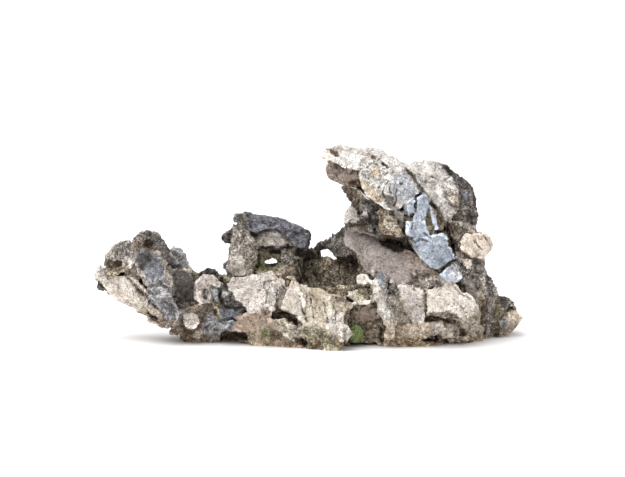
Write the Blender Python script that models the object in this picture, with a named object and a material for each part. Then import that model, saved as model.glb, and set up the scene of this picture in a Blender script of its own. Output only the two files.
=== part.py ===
"""Scholars rock: a low landscape stone with a rising bow, a pierced tower, a basin and a leaning peak.

The stone is drawn from the front, as an eye a little above the table sees it. A drawn point is
(across, rise, depth) in drawing units: across runs right from the middle, rise is the height at which
the eye sees the point against an upright through the middle, and depth runs away from the eye. Pushing
a shape deeper slides it along the line of sight, so it keeps the place where it is seen.

The stone is built up in a field, a grid of signed distances to its skin. Blocks and boulders are added
to it, hollows are taken out of it, its skin is weathered, and it is cut off at the table.

Everything else is in metres, +Z up, with the origin under the middle of the stone, on the table.
"""

import math
import random

import bmesh
import bpy
import numpy as np
from mathutils import Matrix, Vector, noise

# Driving dimensions
LENGTH = 0.428
DRAWN_LENGTH = 428.0
UNIT = LENGTH / DRAWN_LENGTH
SIGHT_ANGLE = math.radians(8.0)

# The field's box in drawing units, its cell in metres, and how far round a shape it is worked out
FIELD_LOW = (-226, -100)
FIELD_HIGH = (226, 110)
FIELD_TOP = 216
CELL = 0.0022
CELLS_UNDER_TABLE = 1.5
REACH = 0.007
FILLET = 0.004
FILLED_CELLS = -0.1

# How the skin is weathered, in metres
CHIP_SIZE = 0.013
CHIP_TILT = 0.0040
ROLL_SIZE = 0.030
ROLL_DEPTH = 0.0026
GRAIN_SIZE = 0.0065
GRAIN_DEPTH = 0.0012
CALM_SHARE = 0.12
WEATHERED_SHARE = 0.9
NOISE_SEED = 7
NOISE_STEP = 2.0
ROLL_ROUGHNESS = 0.8
ROLL_OCTAVES = 3
CHIP_WARP = 0.25
CHIP_DRAW = 7.0

# How much smaller a block's far side is than its near side
TAPER = 0.82
PLATE_TAPER = 0.9

RUBBLE_CORNERS = 13
RUBBLE_SCALES = (0.6, 1.15)
TRIANGLES = 9600
FOOT_HAIR = 0.0005

# The lump of moss, in drawing units, and the gap that keeps it clear of the stone
MOSS_MIDDLE = (45.5, 6.5, -47)
MOSS_RADII = (7.5, 8.0, 9.5)
MOSS_TURN = (0, 8, 0)
MOSS_GAP = 1.3


class Field:
    """Signed distances on a regular grid, in metres: below zero inside the stone."""

    def __init__(self):
        low = (FIELD_LOW[0] * UNIT, FIELD_LOW[1] * UNIT, -CELLS_UNDER_TABLE * CELL)
        high = (FIELD_HIGH[0] * UNIT, FIELD_HIGH[1] * UNIT, FIELD_TOP * UNIT)
        self.lines = [np.arange(a, b, CELL) for a, b in zip(low, high)]
        self.distances = np.full([len(line) for line in self.lines], REACH)

    def window(self, low, high):
        """The part of the grid round a box, as slices, with its X, Y and Z lines ready to combine."""
        slices = []
        for line, start, end in zip(self.lines, low, high):
            slices.append(slice(*np.searchsorted(line, (start - REACH, end + REACH))))
        x, y, z = (line[part] for line, part in zip(self.lines, slices))
        return tuple(slices), x[:, None, None], y[None, :, None], z[None, None, :]

    def add(self, solid):
        """Joins a solid to the stone, with a small fillet in the corner between them."""
        part, *lines = self.window(solid.low, solid.high)
        old = self.distances[part]
        new = solid.distance(*lines)
        share = np.clip(0.5 + 0.5 * (old - new) / FILLET, 0.0, 1.0)
        self.distances[part] = old + (new - old) * share - FILLET * share * (1.0 - share)

    def take(self, solid):
        """Takes a solid out of the stone."""
        part, *lines = self.window(solid.low, solid.high)
        self.distances[part] = np.maximum(self.distances[part], -solid.distance(*lines))

    def cut_at_table(self):
        """Takes away what reaches under the table's top."""
        self.distances = np.maximum(self.distances, -self.lines[2][None, None, :])


class Hull:
    """The tightest flat-faced solid round some points, as the planes of its faces."""

    def __init__(self, points):
        shape = bmesh.new()
        for point in points:
            shape.verts.new(point)
        made = bmesh.ops.convex_hull(shape, input=shape.verts)
        inner = {item for item in made["geom_interior"] if isinstance(item, bmesh.types.BMVert)}
        bmesh.ops.delete(shape, geom=list(inner), context="VERTS")
        middle = sum((Vector(point) for point in points), Vector()) / len(points)
        self.planes = []
        for face in shape.faces:
            if face.calc_area() > 0.0:
                side = 1.0 if face.normal.dot(face.verts[0].co - middle) > 0.0 else -1.0
                self.planes.append((*(face.normal * side), face.normal.dot(face.verts[0].co) * side))
        shape.free()
        self.low = [min(point[axis] for point in points) for axis in range(3)]
        self.high = [max(point[axis] for point in points) for axis in range(3)]

    def distance(self, x, y, z):
        nearest = np.full((1, 1, 1), -np.inf)
        for normal_x, normal_y, normal_z, offset in self.planes:
            nearest = np.maximum(nearest, normal_x * x + normal_y * y + normal_z * z - offset)
        return nearest


class Round:
    """An ellipsoid at a drawn place. Its radii run along X, Y and Z before it is turned, in degrees."""

    def __init__(self, centre, radii, turn=(0, 0, 0)):
        about_x, about_y, about_z = (Matrix.Rotation(math.radians(turn[i]), 3, "XYZ"[i]) for i in range(3))
        self.spin = about_z @ about_y @ about_x
        self.middle = seat(*centre)
        self.radii = [radius * UNIT for radius in radii]
        extent = [math.hypot(*(row[i] * self.radii[i] for i in range(3))) for row in self.spin]
        self.low = [self.middle[axis] - extent[axis] for axis in range(3)]
        self.high = [self.middle[axis] + extent[axis] for axis in range(3)]

    def distance(self, x, y, z):
        away = (x - self.middle.x, y - self.middle.y, z - self.middle.z)
        reach = 0.0
        slope = 0.0
        for axis in range(3):
            along = sum(self.spin[row][axis] * away[row] for row in range(3)) / self.radii[axis]
            reach = reach + along**2
            slope = slope + (along / self.radii[axis]) ** 2
        reach = np.sqrt(reach)
        return reach * (reach - 1.0) / np.sqrt(np.maximum(slope, np.finfo(float).tiny))


def seat(across, rise, depth):
    """The place in metres of a drawn point."""
    height = rise / math.cos(SIGHT_ANGLE) - depth * math.tan(SIGHT_ANGLE)
    return Vector((across, depth, height)) * UNIT


def block(stone, corners, back, taper=TAPER):
    """A broken block: its drawn front corners, and the same corners pushed back and drawn together."""
    middle_across = sum(corner[0] for corner in corners) / len(corners)
    middle_rise = sum(corner[1] for corner in corners) / len(corners)
    points = []
    for across, rise, depth in corners:
        far_across = middle_across + (across - middle_across) * taper
        far_rise = middle_rise + (rise - middle_rise) * taper
        points.append(seat(across, rise, depth))
        points.append(seat(far_across, far_rise, depth + back))
    stone.add(Hull(points))


def slab(stone, outline, depth, back, taper=TAPER):
    """A block whose drawn corners all lie at one depth."""
    block(stone, [(across, rise, depth) for across, rise in outline], back, taper)


def boulder(stone, centre, radii, turn=(0, 0, 0)):
    """A rounded lump."""
    stone.add(Round(centre, radii, turn))


def hollow(stone, centre, radii, turn=(0, 0, 0)):
    """A rounded hollow."""
    stone.take(Round(centre, radii, turn))


def rubble(stone, seed, centre, spread, size, count):
    """Broken lumps scattered about a drawn middle, each the hull of a few points on a ball."""
    chance = random.Random(seed)
    for _ in range(count):
        middle = seat(*(value + reach * chance.uniform(-1.0, 1.0) for value, reach in zip(centre, spread)))
        scale = chance.uniform(*RUBBLE_SCALES) * UNIT
        points = []
        for _ in range(RUBBLE_CORNERS):
            corner = Vector([chance.gauss(0.0, 1.0) for _ in range(3)]).normalized()
            points.append(middle + Vector([corner[axis] * size[axis] * scale for axis in range(3)]))
        stone.add(Hull(points))


def rib(stone, stations):
    """A tapering rib through drawn stations (across, rise, depth, radius), hulled from ball to ball."""
    ball = bmesh.new()
    bmesh.ops.create_icosphere(ball, subdivisions=1, radius=UNIT)
    corners = [vertex.co.copy() for vertex in ball.verts]
    ball.free()
    for near, far in zip(stations, stations[1:]):
        points = []
        for *centre, radius in (near, far):
            points.extend(seat(*centre) + corner * radius for corner in corners)
        stone.add(Hull(points))


def bow(stone):
    """The wing that rises at the left: a pale keel, a blue slab on its face, and a crumbling crown."""
    block(stone, [(-210, 57, -8), (-199, 44, -14), (-179, 35, -20), (-160, 22, -24), (-136, 12, -20),
                  (-136, 30, -34), (-160, 46, -34), (-177, 61, -30), (-192, 68, -24), (-206, 65, -12)], 45)
    slab(stone, [(-214, 66), (-210, 74), (-201, 72), (-198, 60), (-207, 56), (-213, 60)], -14, 26)
    slab(stone, [(-211, 60), (-200, 64), (-192, 60), (-196, 50), (-206, 53)], -10, 30)
    boulder(stone, (-159, 23, -20), (7, 8, 5))
    boulder(stone, (-145, 16, -18), (6, 8, 5))
    boulder(stone, (-134, 9, -16), (7, 8, 5))
    boulder(stone, (-124, 3, -12), (6, 8, 4))
    boulder(stone, (-196, 67, -22), (9, 7, 4))
    slab(stone, [(-213, 57), (-210, 61), (-202, 58), (-194, 50), (-198, 46), (-212, 51)], -6, 28)
    block(stone, [(-205, 83, -14), (-205, 73, -14), (-198, 93, -16), (-191, 99, -16), (-182, 99, -16),
                  (-176, 93, -24), (-174, 78, -30), (-182, 66, -28), (-200, 66, -20)], 42)
    block(stone, [(-177, 84, -32), (-170, 89, -32), (-152, 88, -34), (-146, 78, -38), (-143, 63, -43),
                  (-138, 50, -47), (-133, 38, -49), (-140, 29, -47), (-150, 37, -47), (-160, 49, -44),
                  (-167, 62, -41), (-174, 74, -37)], 22)
    block(stone, [(-177, 96, -22), (-176, 102, -22), (-171, 107, -22), (-164, 108, -22), (-152, 107, -24),
                  (-146, 101, -26), (-140, 93, -28), (-136, 82, -28), (-150, 78, -32), (-165, 82, -32),
                  (-175, 88, -28)], 46)
    slab(stone, [(-140, 91), (-137, 94), (-130, 91), (-126, 85), (-122, 76), (-121, 68), (-138, 64),
                 (-144, 78)], -12, 40)
    slab(stone, [(-175, 78), (-120, 70), (-110, 40), (-105, 10), (-135, 15), (-160, 40)], -24, 50)
    slab(stone, [(-202, 86), (-170, 98), (-140, 90), (-140, 40), (-170, 40), (-200, 60)], -8, 30)
    slab(stone, [(-186, 78), (-174, 84), (-166, 66), (-172, 56), (-188, 62)], -22, 26)
    block(stone, [(-165, 50, -46), (-148, 54, -50), (-135, 42, -52), (-128, 28, -50), (-130, 16, -44),
                  (-142, 12, -40), (-152, 22, -40), (-162, 35, -42)], 30)
    slab(stone, [(-166, 28), (-162, 19), (-152, 15), (-140, 18), (-140, 30)], -26, 24)
    boulder(stone, (-122, 36, -46), (5, 4, 4.5))
    rib(stone, [(-152, 88, -34, 3), (-146, 76, -39, 3), (-142, 62, -43, 3), (-134, 45, -48, 3),
                (-124, 36, -46, 3)])


def saddle(stone):
    """The low ground between the bow and the tower, with its cobbled foot."""
    block(stone, [(-115, 59, -38), (-106, 65, -36), (-100, 63, -38), (-97, 50, -42), (-100, 37, -42),
                  (-110, 35, -42), (-116, 42, -42)], 44)
    slab(stone, [(-112, 60), (-107, 68), (-103, 72), (-97, 70), (-91, 63), (-95, 52), (-110, 52)], 2, 34)
    slab(stone, [(-95, 64), (-88, 64), (-80, 62), (-76, 50), (-95, 50)], 6, 36)
    slab(stone, [(-124, 71), (-117, 69), (-110, 62), (-112, 48), (-124, 48)], -10, 36)
    block(stone, [(-142, 28, -40), (-110, 37, -42), (-88, 42, -40), (-86, 10, -26), (-96, -8, -14),
                  (-110, -8, -14), (-126, 8, -22), (-140, 12, -28)], 62)
    boulder(stone, (-119, 19, -38), (7.5, 7, 8.5))
    boulder(stone, (-112, 5, -24), (4.5, 4.5, 5))
    block(stone, [(-107, 18, -32), (-98, 28, -38), (-89, 22, -36), (-89, 5, -24), (-94, -10, -10),
                  (-105, -10, -10), (-109, 10, -24)], 30)
    block(stone, [(-101, 54, -42), (-94, 57, -40), (-84, 50, -44), (-72, 39, -48), (-62, 32, -50),
                  (-70, 29, -48), (-84, 31, -46), (-96, 34, -44)], 36)
    block(stone, [(-110, 50, -38), (-106, 64, -38), (-96, 65, -34), (-88, 56, -38), (-98, 50, -42)], 36)
    block(stone, [(-91, 29, -44), (-75, 31, -46), (-65, 29, -44), (-72, 22, -40), (-88, 20, -38)], 40)
    block(stone, [(-94, 17, -40), (-80, 18, -42), (-72, 18, -40), (-80, 9, -32), (-91, 5, -26)], 40)


def front_rim(stone):
    """The wall of pale lumps along the front of the basin, standing on arched feet."""
    block(stone, [(-82, 56, -34), (-78, 63, -26), (-64, 63, -24), (-50, 64, -26), (-39, 67, -28),
                  (-29, 60, -34), (-26, 53, -42), (-32, 43, -52), (-34, 30, -56), (-48, 32, -58),
                  (-60, 27, -56), (-67, 36, -52), (-77, 44, -46)], 34)
    block(stone, [(-24, 49, -50), (-16, 61, -50), (-11, 56, -52), (-6, 40, -62), (-8, 20, -66),
                  (-17, 27, -64), (-30, 31, -60), (-28, 42, -56)], 26)
    block(stone, [(-11, 56, -50), (0, 49, -50), (15, 43, -52), (35, 44, -54), (44, 37, -58),
                  (34, 22, -70), (32, 5, -78), (25, -14, -74), (5, -14, -62), (-10, 5, -60),
                  (-12, 22, -64)], 36)
    block(stone, [(35, 44, -52), (42, 48, -50), (56, 52, -50), (68, 50, -54), (65, 40, -60),
                  (45, 37, -58)], 26)
    block(stone, [(-86, 6, -26), (-78, 18, -38), (-65, 27, -48), (-48, 32, -54), (-38, 26, -56),
                  (-40, 12, -52), (-48, -10, -40), (-65, 0, -34)], 40)
    block(stone, [(-42, 22, -58), (-25, 22, -56), (-10, 10, -58), (-7, -12, -52), (-25, -12, -42),
                  (-42, -12, -36)], 40)
    boulder(stone, (61, 7, -52), (10, 12, 13))
    slab(stone, [(28, 2), (34, 15), (40, 7), (36, -2)], -75, 14)
    rib(stone, [(67, 70, -46, 7), (71, 60, -52, 6), (70, 45, -60, 6), (74, 32, -64, 6), (79, 18, -62, 6),
                (78, 6, -54, 7)])
    slab(stone, [(46, 63), (52, 66), (57, 65), (60, 59), (53, 55), (47, 57)], -56, 12)
    slab(stone, [(58, 60), (66, 59), (68, 50), (64, 49), (61, 55)], -58, 12)
    slab(stone, [(-64, 46), (70, 44), (110, 60), (110, -4), (-64, -4)], -40, 34)
    slab(stone, [(-36, 54), (-16, 52), (-12, 32), (-30, 31), (-38, 38)], -46, 24)
    slab(stone, [(82, 58), (96, 44), (106, 18), (84, 12), (78, 40)], -52, 20)
    slab(stone, [(108, 36), (160, 36), (156, 2), (112, 2)], -36, 24)
    block(stone, [(-88, 20, -14), (60, 20, -24), (150, 24, -24), (150, -14, -2), (60, -14, -12),
                  (-88, -14, 4)], 84)
    block(stone, [(-62, 20, -44), (-44, 22, -52), (-40, 2, -48), (-44, -10, -38), (-58, -9, -34),
                  (-64, 4, -38)], 30)
    block(stone, [(0, 16, -66), (30, 16, -78), (34, -2, -80), (24, -16, -72), (8, -16, -66),
                  (-4, -10, -58)], 30)


def tower(stone):
    """The pierced tower at the back: two piers under a dark sloping cap, with a window between them."""
    block(stone, [(-75, 121, 4), (-74, 124, 10), (-64, 126, 12), (-45, 125, 12), (-26, 121, 12),
                  (-12, 115, 8), (-1, 110, 8), (3, 103, 10), (0, 94, 14), (-15, 101, 4), (-32, 110, 2),
                  (-60, 110, 2), (-72, 112, 4)], 48)
    slab(stone, [(-22, 104), (-15, 93), (-7, 89), (0, 94), (2, 104), (-10, 112)], 2, 42)
    slab(stone, [(-88, 100), (-87, 104), (-80, 110), (-76, 113), (-71, 115), (-70, 96), (-79, 95)], 18, 28)
    block(stone, [(-76, 114, 8), (-60, 110, 8), (-54, 100, 10), (-52, 88, 10), (-56, 78, 8),
                  (-58, 58, 6), (-82, 54, 4), (-80, 78, 8), (-82, 92, 12)], 42)
    slab(stone, [(-62, 110), (-18, 107), (-14, 92), (-30, 90), (-45, 90), (-58, 92)], 10, 40)
    block(stone, [(-30, 96, 16), (-14, 94, 16), (-8, 84, 18), (-8, 55, 10), (-30, 55, 14), (-29, 78, 18)], 34)
    slab(stone, [(-60, 98), (-20, 98), (-20, 55), (-60, 55)], 18, 28)
    slab(stone, [(-20, 98), (0, 93), (10, 86), (-4, 82), (-18, 86)], 24, 26)
    block(stone, [(-58, 72, 14), (-30, 74, 20), (-14, 68, 14), (-10, 55, -8), (-45, 60, -16)], 34)
    slab(stone, [(-84, 62), (-60, 62), (-60, 10), (-84, 10)], -10, 70)
    slab(stone, [(-70, 62), (-12, 60), (-12, 20), (-70, 20)], -24, 50)


def back_wall(stone):
    """The broken wall behind the basin, with a thin arch where it meets the peak."""
    block(stone, [(-15, 90, 38), (0, 92, 42), (8, 91, 44), (11, 86, 44), (10, 40, 26), (-12, 40, 26)], 26)
    block(stone, [(4, 83, 44), (21, 83, 40), (44, 84, 30), (48, 40, 18), (6, 40, 26)], 30)
    rib(stone, [(6, 87, 46, 4.6), (10, 92, 44, 3.7), (15, 95, 42, 3.6), (20, 95, 38, 4), (25, 90, 34, 5.5)])
    slab(stone, [(22, 97), (25, 105), (31, 109), (36, 114), (42, 112), (44, 84), (30, 78), (23, 82)], 22, 34)
    block(stone, [(-60, 20, 40), (60, 20, 46), (150, 30, 46), (150, -20, 46), (-60, -20, 40)], 34)


def peak_body(stone):
    """The mass of the peak: its core, the neck, and the bulges on its right flank."""
    block(stone, [(35, 78, 20), (45, 115, 10), (90, 140, -10), (130, 168, -8), (164, 140, 8),
                  (172, 80, 0), (176, 40, 0), (168, -12, 10), (90, -12, -10), (50, -5, 0)], 60)
    block(stone, [(32, 102, 14), (36, 113, 14), (45, 117, 10), (54, 113, 4), (66, 104, -6),
                  (80, 92, -18), (98, 88, -28), (112, 82, -36), (116, 70, -42), (100, 56, -52),
                  (86, 52, -52), (70, 64, -40), (56, 68, -24), (48, 80, -10), (40, 90, 2)], 34)
    block(stone, [(100, 88, -30), (118, 80, -40), (127, 68, -45), (134, 56, -50), (112, 48, -54),
                  (88, 50, -52)], 34)
    block(stone, [(32, 154, -2), (46, 152, -12), (56, 142, -20), (72, 134, -26), (62, 128, -20),
                  (50, 130, -8), (42, 136, 0), (39, 145, 0)], 50)
    block(stone, [(42, 140, 0), (42, 128, -6), (38, 120, -4), (36, 112, 2), (48, 110, -6), (62, 104, -16),
                  (74, 100, -28), (94, 102, -36), (94, 128, -34), (72, 134, -28), (56, 143, -20)], 50)
    slab(stone, [(37, 126), (41, 132), (48, 131), (49, 118), (37, 119)], -14, 16)
    block(stone, [(50, 136, -22), (62, 136, -28), (67, 122, -30), (64, 108, -26), (54, 110, -20),
                  (49, 122, -18)], 20)
    slab(stone, [(124, 152), (160, 152), (168, 116), (164, 84), (140, 84), (122, 100)], -18, 40)
    slab(stone, [(132, 120), (152, 118), (150, 94), (138, 94)], -32, 24)
    slab(stone, [(128, 70), (176, 72), (176, 20), (128, 20)], -26, 40)
    slab(stone, [(138, 74), (172, 62), (168, 36), (144, 44)], -38, 24)
    slab(stone, [(38, 158), (62, 158), (62, 138), (44, 138)], -6, 30)
    slab(stone, [(40, 172), (64, 176), (64, 150), (42, 150)], -4, 30)
    boulder(stone, (78, 114, -36), (10, 8, 9))
    boulder(stone, (86, 109, -36), (8, 8, 7))
    boulder(stone, (74, 124, -32), (6, 6, 7))
    block(stone, [(94, 140, -44), (114, 147, -44), (122, 130, -46), (130, 110, -46), (140, 98, -46),
                  (147, 82, -46), (150, 62, -48), (138, 58, -50), (124, 66, -52), (110, 86, -50),
                  (98, 98, -48), (93, 118, -46)], 42)
    block(stone, [(138, 116, -36), (152, 114, -24), (166, 84, -14), (174, 78, -4), (175, 65, -6),
                  (174, 42, -18), (164, 40, -34), (150, 60, -42), (146, 84, -42)], 50)
    block(stone, [(147, 99, -38), (154, 106, -34), (170, 110, -16), (178, 103, -8), (184, 95, -4),
                  (179, 89, -10), (171, 82, -20), (160, 83, -34), (150, 88, -40)], 34)
    boulder(stone, (157.5, 76.5, -37), (5.5, 5, 5))
    block(stone, [(174, 64, 0), (181, 59, 8), (185, 50, 12), (190, 43, 16), (190, 15, 20),
                  (176, -10, 14), (174, 40, -4)], 44)


def peak_head(stone):
    """The head that leans out over the basin, its pale shoulder and its dark right edge."""
    block(stone, [(11, 184, -6), (14, 191, -2), (20, 193, 2), (42, 192, 2), (60, 191, 0), (71, 189, -2),
                  (78, 184, -8), (62, 174, -24), (48, 169, -28), (38, 171, -28), (26, 176, -22),
                  (16, 181, -14)], 30)
    slab(stone, [(17, 190), (22, 195), (30, 196), (40, 193), (50, 190), (40, 186), (20, 186)], -2, 26)
    block(stone, [(15, 169, -6), (17, 174, -8), (30, 174, -16), (48, 168, -20), (52, 154, -20),
                  (46, 152, -14), (34, 152, -8), (26, 159, -6), (18, 163, -4)], 30)
    block(stone, [(48, 168, -30), (58, 177, -26), (76, 184, -16), (86, 182, -16), (94, 178, -20),
                  (105, 166, -28), (111, 155, -38), (111, 147, -42), (100, 137, -46), (90, 131, -46),
                  (78, 131, -44), (70, 138, -40), (58, 144, -34), (51, 154, -30), (78, 160, -44)], 46)
    block(stone, [(93, 177, -10), (103, 180, -6), (115, 180, -4), (128, 177, -4), (140, 170, -6),
                  (148, 164, -10), (150, 152, -20), (146, 135, -30), (139, 116, -38), (130, 110, -42),
                  (122, 124, -44), (114, 144, -42), (105, 162, -30)], 52)
    block(stone, [(145, 163, 2), (150, 163, 6), (157, 158, 8), (162, 149, 8), (164, 134, 8),
                  (168, 127, 6), (168, 117, 4), (164, 112, 0), (154, 113, -12), (145, 126, -22),
                  (144, 145, -16)], 40)


def plates(stone):
    """Blue plates that stand a little proud of the peak's face, with narrow gaps between them."""
    slab(stone, [(94, 140), (105, 140), (106, 127), (95, 125)], -48, 10, PLATE_TAPER)
    slab(stone, [(107, 142), (114, 147), (119, 139), (117, 130), (114, 118), (102, 121), (105, 131)], -49, 10,
         PLATE_TAPER)
    slab(stone, [(94, 119), (114, 118), (118, 108), (120, 100), (114, 100), (101, 107), (96, 105)], -50, 10,
         PLATE_TAPER)
    slab(stone, [(120, 133), (123, 130), (125, 120), (128, 111), (124, 108), (122, 118)], -50, 10, PLATE_TAPER)
    slab(stone, [(98, 99), (110, 99), (120, 97), (128, 106), (133, 107), (139, 99), (141, 90), (146, 83),
                 (140, 78), (130, 70), (123, 69), (118, 78), (111, 87), (102, 91)], -52, 12, PLATE_TAPER)
    slab(stone, [(127, 66), (135, 68), (140, 77), (145, 77), (149, 70), (151, 63), (147, 59), (140, 60),
                 (135, 62), (130, 61)], -54, 12, PLATE_TAPER)


def peak_foot(stone):
    """The blocks at the bottom right: two pale blocks, a tan flank, and a loose-looking round foot."""
    block(stone, [(86, 56, -56), (92, 57, -56), (113, 51, -60), (115, 38, -64), (112, 18, -60),
                  (102, 16, -58), (95, 28, -62), (89, 42, -62)], 32)
    block(stone, [(116, 47, -62), (128, 52, -58), (133, 61, -50), (142, 57, -52), (152, 47, -56),
                  (164, 39, -58), (168, 31, -54), (160, 22, -58), (151, 20, -64), (140, 30, -70),
                  (128, 28, -70), (117, 26, -68)], 44)
    block(stone, [(158, 54, -36), (168, 51, -34), (176, 40, -30), (174, 24, -28), (172, -10, -2),
                  (156, -12, -12), (145, 8, -30), (148, 22, -46)], 46)
    block(stone, [(73, 10, -54), (90, 16, -58), (110, 18, -58), (130, 18, -54), (138, 4, -34),
                  (128, -14, -18), (108, -14, -44), (75, -14, -36)], 60)
    boulder(stone, (140, 5, -26), (5, 5, 9))
    boulder(stone, (147, 4, -22), (5, 5, 8))
    block(stone, [(178, 44, 10), (190, 43, 14), (196, 43, 16), (202, 38, 20), (207, 30, 22),
                  (198, 20, 14), (192, 10, 14), (180, -12, 34)], 36)
    block(stone, [(196, 27, 12), (207, 30, 16), (213, 22, 22), (207, 13, 22), (184, -10, 34),
                  (178, -12, 38), (193, 18, 10)], 30)


def weathered_back(stone):
    """Broken lumps that give the far side and the right end as much relief as the near side."""
    rubble(stone, 11, (100, 128, 42), (38, 20, 8), (22, 12, 18), 12)
    rubble(stone, 12, (100, 66, 64), (52, 34, 8), (26, 12, 20), 16)
    rubble(stone, 13, (80, 24, 78), (84, 8, 6), (26, 13, 14), 12)
    rubble(stone, 14, (-36, 56, 62), (40, 26, 6), (20, 10, 15), 12)
    rubble(stone, 15, (-30, 18, 66), (56, 6, 8), (22, 13, 12), 8)
    rubble(stone, 16, (-152, 62, 16), (30, 18, 6), (16, 9, 13), 10)
    rubble(stone, 17, (-112, 28, 30), (30, 12, 8), (18, 11, 12), 8)
    rubble(stone, 18, (150, 84, 34), (5, 36, 18), (13, 14, 15), 9)
    rubble(stone, 19, (176, 24, 46), (10, 8, 8), (16, 15, 14), 5)
    rib(stone, [(60, 120, 44, 9), (84, 96, 62, 10), (92, 60, 74, 10), (120, 26, 82, 11)])
    rib(stone, [(-72, 100, 50, 8), (-60, 70, 64, 8), (-66, 30, 66, 10)])


def hollows(stone):
    """Takes out every hollow: the basin, the window, the caves under the rim and the worn faces."""
    hollow(stone, (14, 66, -2), (44, 28, 30), (0, -4, 4))
    hollow(stone, (38, 66, 2), (15, 26, 14))
    hollow(stone, (-39.5, 80, 40), (7.0, 90, 4.0), (0, 8, 0))
    hollow(stone, (-162, 96, -30), (6, 8, 5.5))
    hollow(stone, (-126, 53, -52), (12, 18, 20), (0, 12, 0))
    hollow(stone, (-195, 75, -27), (7, 8, 4))
    hollow(stone, (-181, 68, -36), (8, 6, 4), (0, 30, 0))
    hollow(stone, (-120, 20, -46), (12, 10, 12))
    hollow(stone, (-104, 44, -46), (5, 8, 9))
    hollow(stone, (-76, 3, -32), (12, 24, 6))
    hollow(stone, (-40, 47, -61), (8, 14, 14))
    hollow(stone, (-19, 21, -68), (13, 11, 3.8), (0, 30, 0))
    hollow(stone, (53, 21, -76), (19, 28, 14))
    hollow(stone, MOSS_MIDDLE, [radius + MOSS_GAP for radius in MOSS_RADII], MOSS_TURN)
    hollow(stone, (145, 12, -52), (12, 18, 9))
    hollow(stone, (122, 0, -48), (10, 16, 3.5))
    hollow(stone, (72, 4, -62), (2.5, 14, 12))
    hollow(stone, (81, 98, -42), (14, 20, 5.5), (0, 20, 0))
    hollow(stone, (94, 116, -44), (2.5, 10, 16), (0, 4, 0))
    hollow(stone, (63, 125, -40), (2.2, 12, 13), (0, 12, 0))
    hollow(stone, (22, 188, -16), (9, 14, 2.2), (0, 25, 0))
    hollow(stone, (43, 156, -24), (8, 10, 6))
    hollow(stone, (177, 28, -20), (3.5, 15, 18), (0, -4, 0))
    hollow(stone, (-54, 106, -4), (7, 8, 3.5))
    hollow(stone, (-34, 91, 2), (22, 12, 3), (0, -4, 0))
    hollow(stone, (-10, 88, 2), (8, 12, 4))
    hollow(stone, (142, 94, -48), (2.5, 9, 12), (0, -24, 0))
    hollow(stone, (76, 84, -92), (52, 56, 38), (0, 28, 0))
    hollow(stone, (60, 96, 84), (14, 16, 18), (0, 20, 0))
    hollow(stone, (130, 84, 98), (11, 18, 24), (0, -20, 0))
    hollow(stone, (22, 46, 96), (20, 16, 11), (0, 10, 0))
    hollow(stone, (-30, 34, 84), (14, 14, 10))
    hollow(stone, (-128, 46, 50), (12, 12, 9))
    hollow(stone, (90, 150, 50), (10, 10, 6), (0, 30, 0))


# Worn faces that stay smooth: a drawn middle and a radius in drawing units.
CALM_FACES = [
    ((-36, 112, 16), 40), ((-155, 62, -40), 24), ((-126, 55, -34), 18), ((74, 88, -20), 44),
    ((122, 100, -48), 34), ((134, 36, -64), 24), ((102, 38, -60), 18), ((-52, 16, -46), 20),
    (MOSS_MIDDLE, 16),
]


def calm(places):
    """How much weathering each place takes, from CALM_SHARE on a worn face to 1 elsewhere."""
    share = np.ones(len(places))
    for middle, radius in CALM_FACES:
        reach = np.linalg.norm(places - np.array(seat(*middle)), axis=1) / (radius * UNIT)
        share = np.minimum(share, CALM_SHARE + (1.0 - CALM_SHARE) * np.minimum(reach, 1.0) ** 3)
    return share


def weather(stone):
    """Moves the skin in and out: broad rolls, chips tilted each its own way, and a coarse grain."""
    noise.seed_set(NOISE_SEED)
    near = np.argwhere(np.abs(stone.distances) < REACH * WEATHERED_SHARE)
    places = np.stack([line[near[:, axis]] for axis, line in enumerate(stone.lines)], axis=1)
    growth = np.empty(len(near))
    for number, place in enumerate(places):
        place = Vector(place)
        roll = noise.fractal(place / ROLL_SIZE, ROLL_ROUGHNESS, NOISE_STEP, ROLL_OCTAVES) * ROLL_DEPTH
        bent = place / CHIP_SIZE + noise.noise_vector(place / CHIP_SIZE) * CHIP_WARP
        chip_middle = noise.voronoi(bent)[1][0]
        tilt = noise.cell_vector(chip_middle * CHIP_DRAW) - Vector((0.5, 0.5, 0.5))
        chip = tilt.dot(bent - chip_middle) * CHIP_TILT
        grain = (0.5 - noise.voronoi(place / GRAIN_SIZE)[0][0]) * GRAIN_DEPTH
        growth[number] = roll + chip + grain
    stone.distances[tuple(near.T)] -= growth * calm(places)


def corner_views(grid, spans):
    """The grid seen from each corner of its cells, or of its squares: spans says which axes step."""
    views = {}
    for step in np.ndindex(*(span + 1 for span in spans)):
        part = tuple(
            slice(offset, size - span + offset) for offset, span, size in zip(step, spans, grid.shape)
        )
        views[step] = grid[part]
    return views


def untangle(stone):
    """Fills grid points until no two lumps, and no two hollows, touch only along an edge or at a corner."""
    inside = stone.distances < 0.0
    before = -1
    while before != inside.sum():
        before = inside.sum()
        for spans in ((1, 1, 0), (1, 0, 1), (0, 1, 1), (1, 1, 1)):
            views = corner_views(inside, spans)
            for step, view in views.items():
                opposite = tuple(span - offset for span, offset in zip(spans, step))
                others = [views[key] for key in views if key not in (step, opposite)]
                apart = view & views[opposite] & ~np.logical_or.reduce(others)
                others[0][apart] = True
                sealed = ~view & ~views[opposite] & np.logical_and.reduce(others)
                view[sealed] = True
    stone.distances[inside & (stone.distances >= 0.0)] = FILLED_CELLS * CELL


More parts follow.
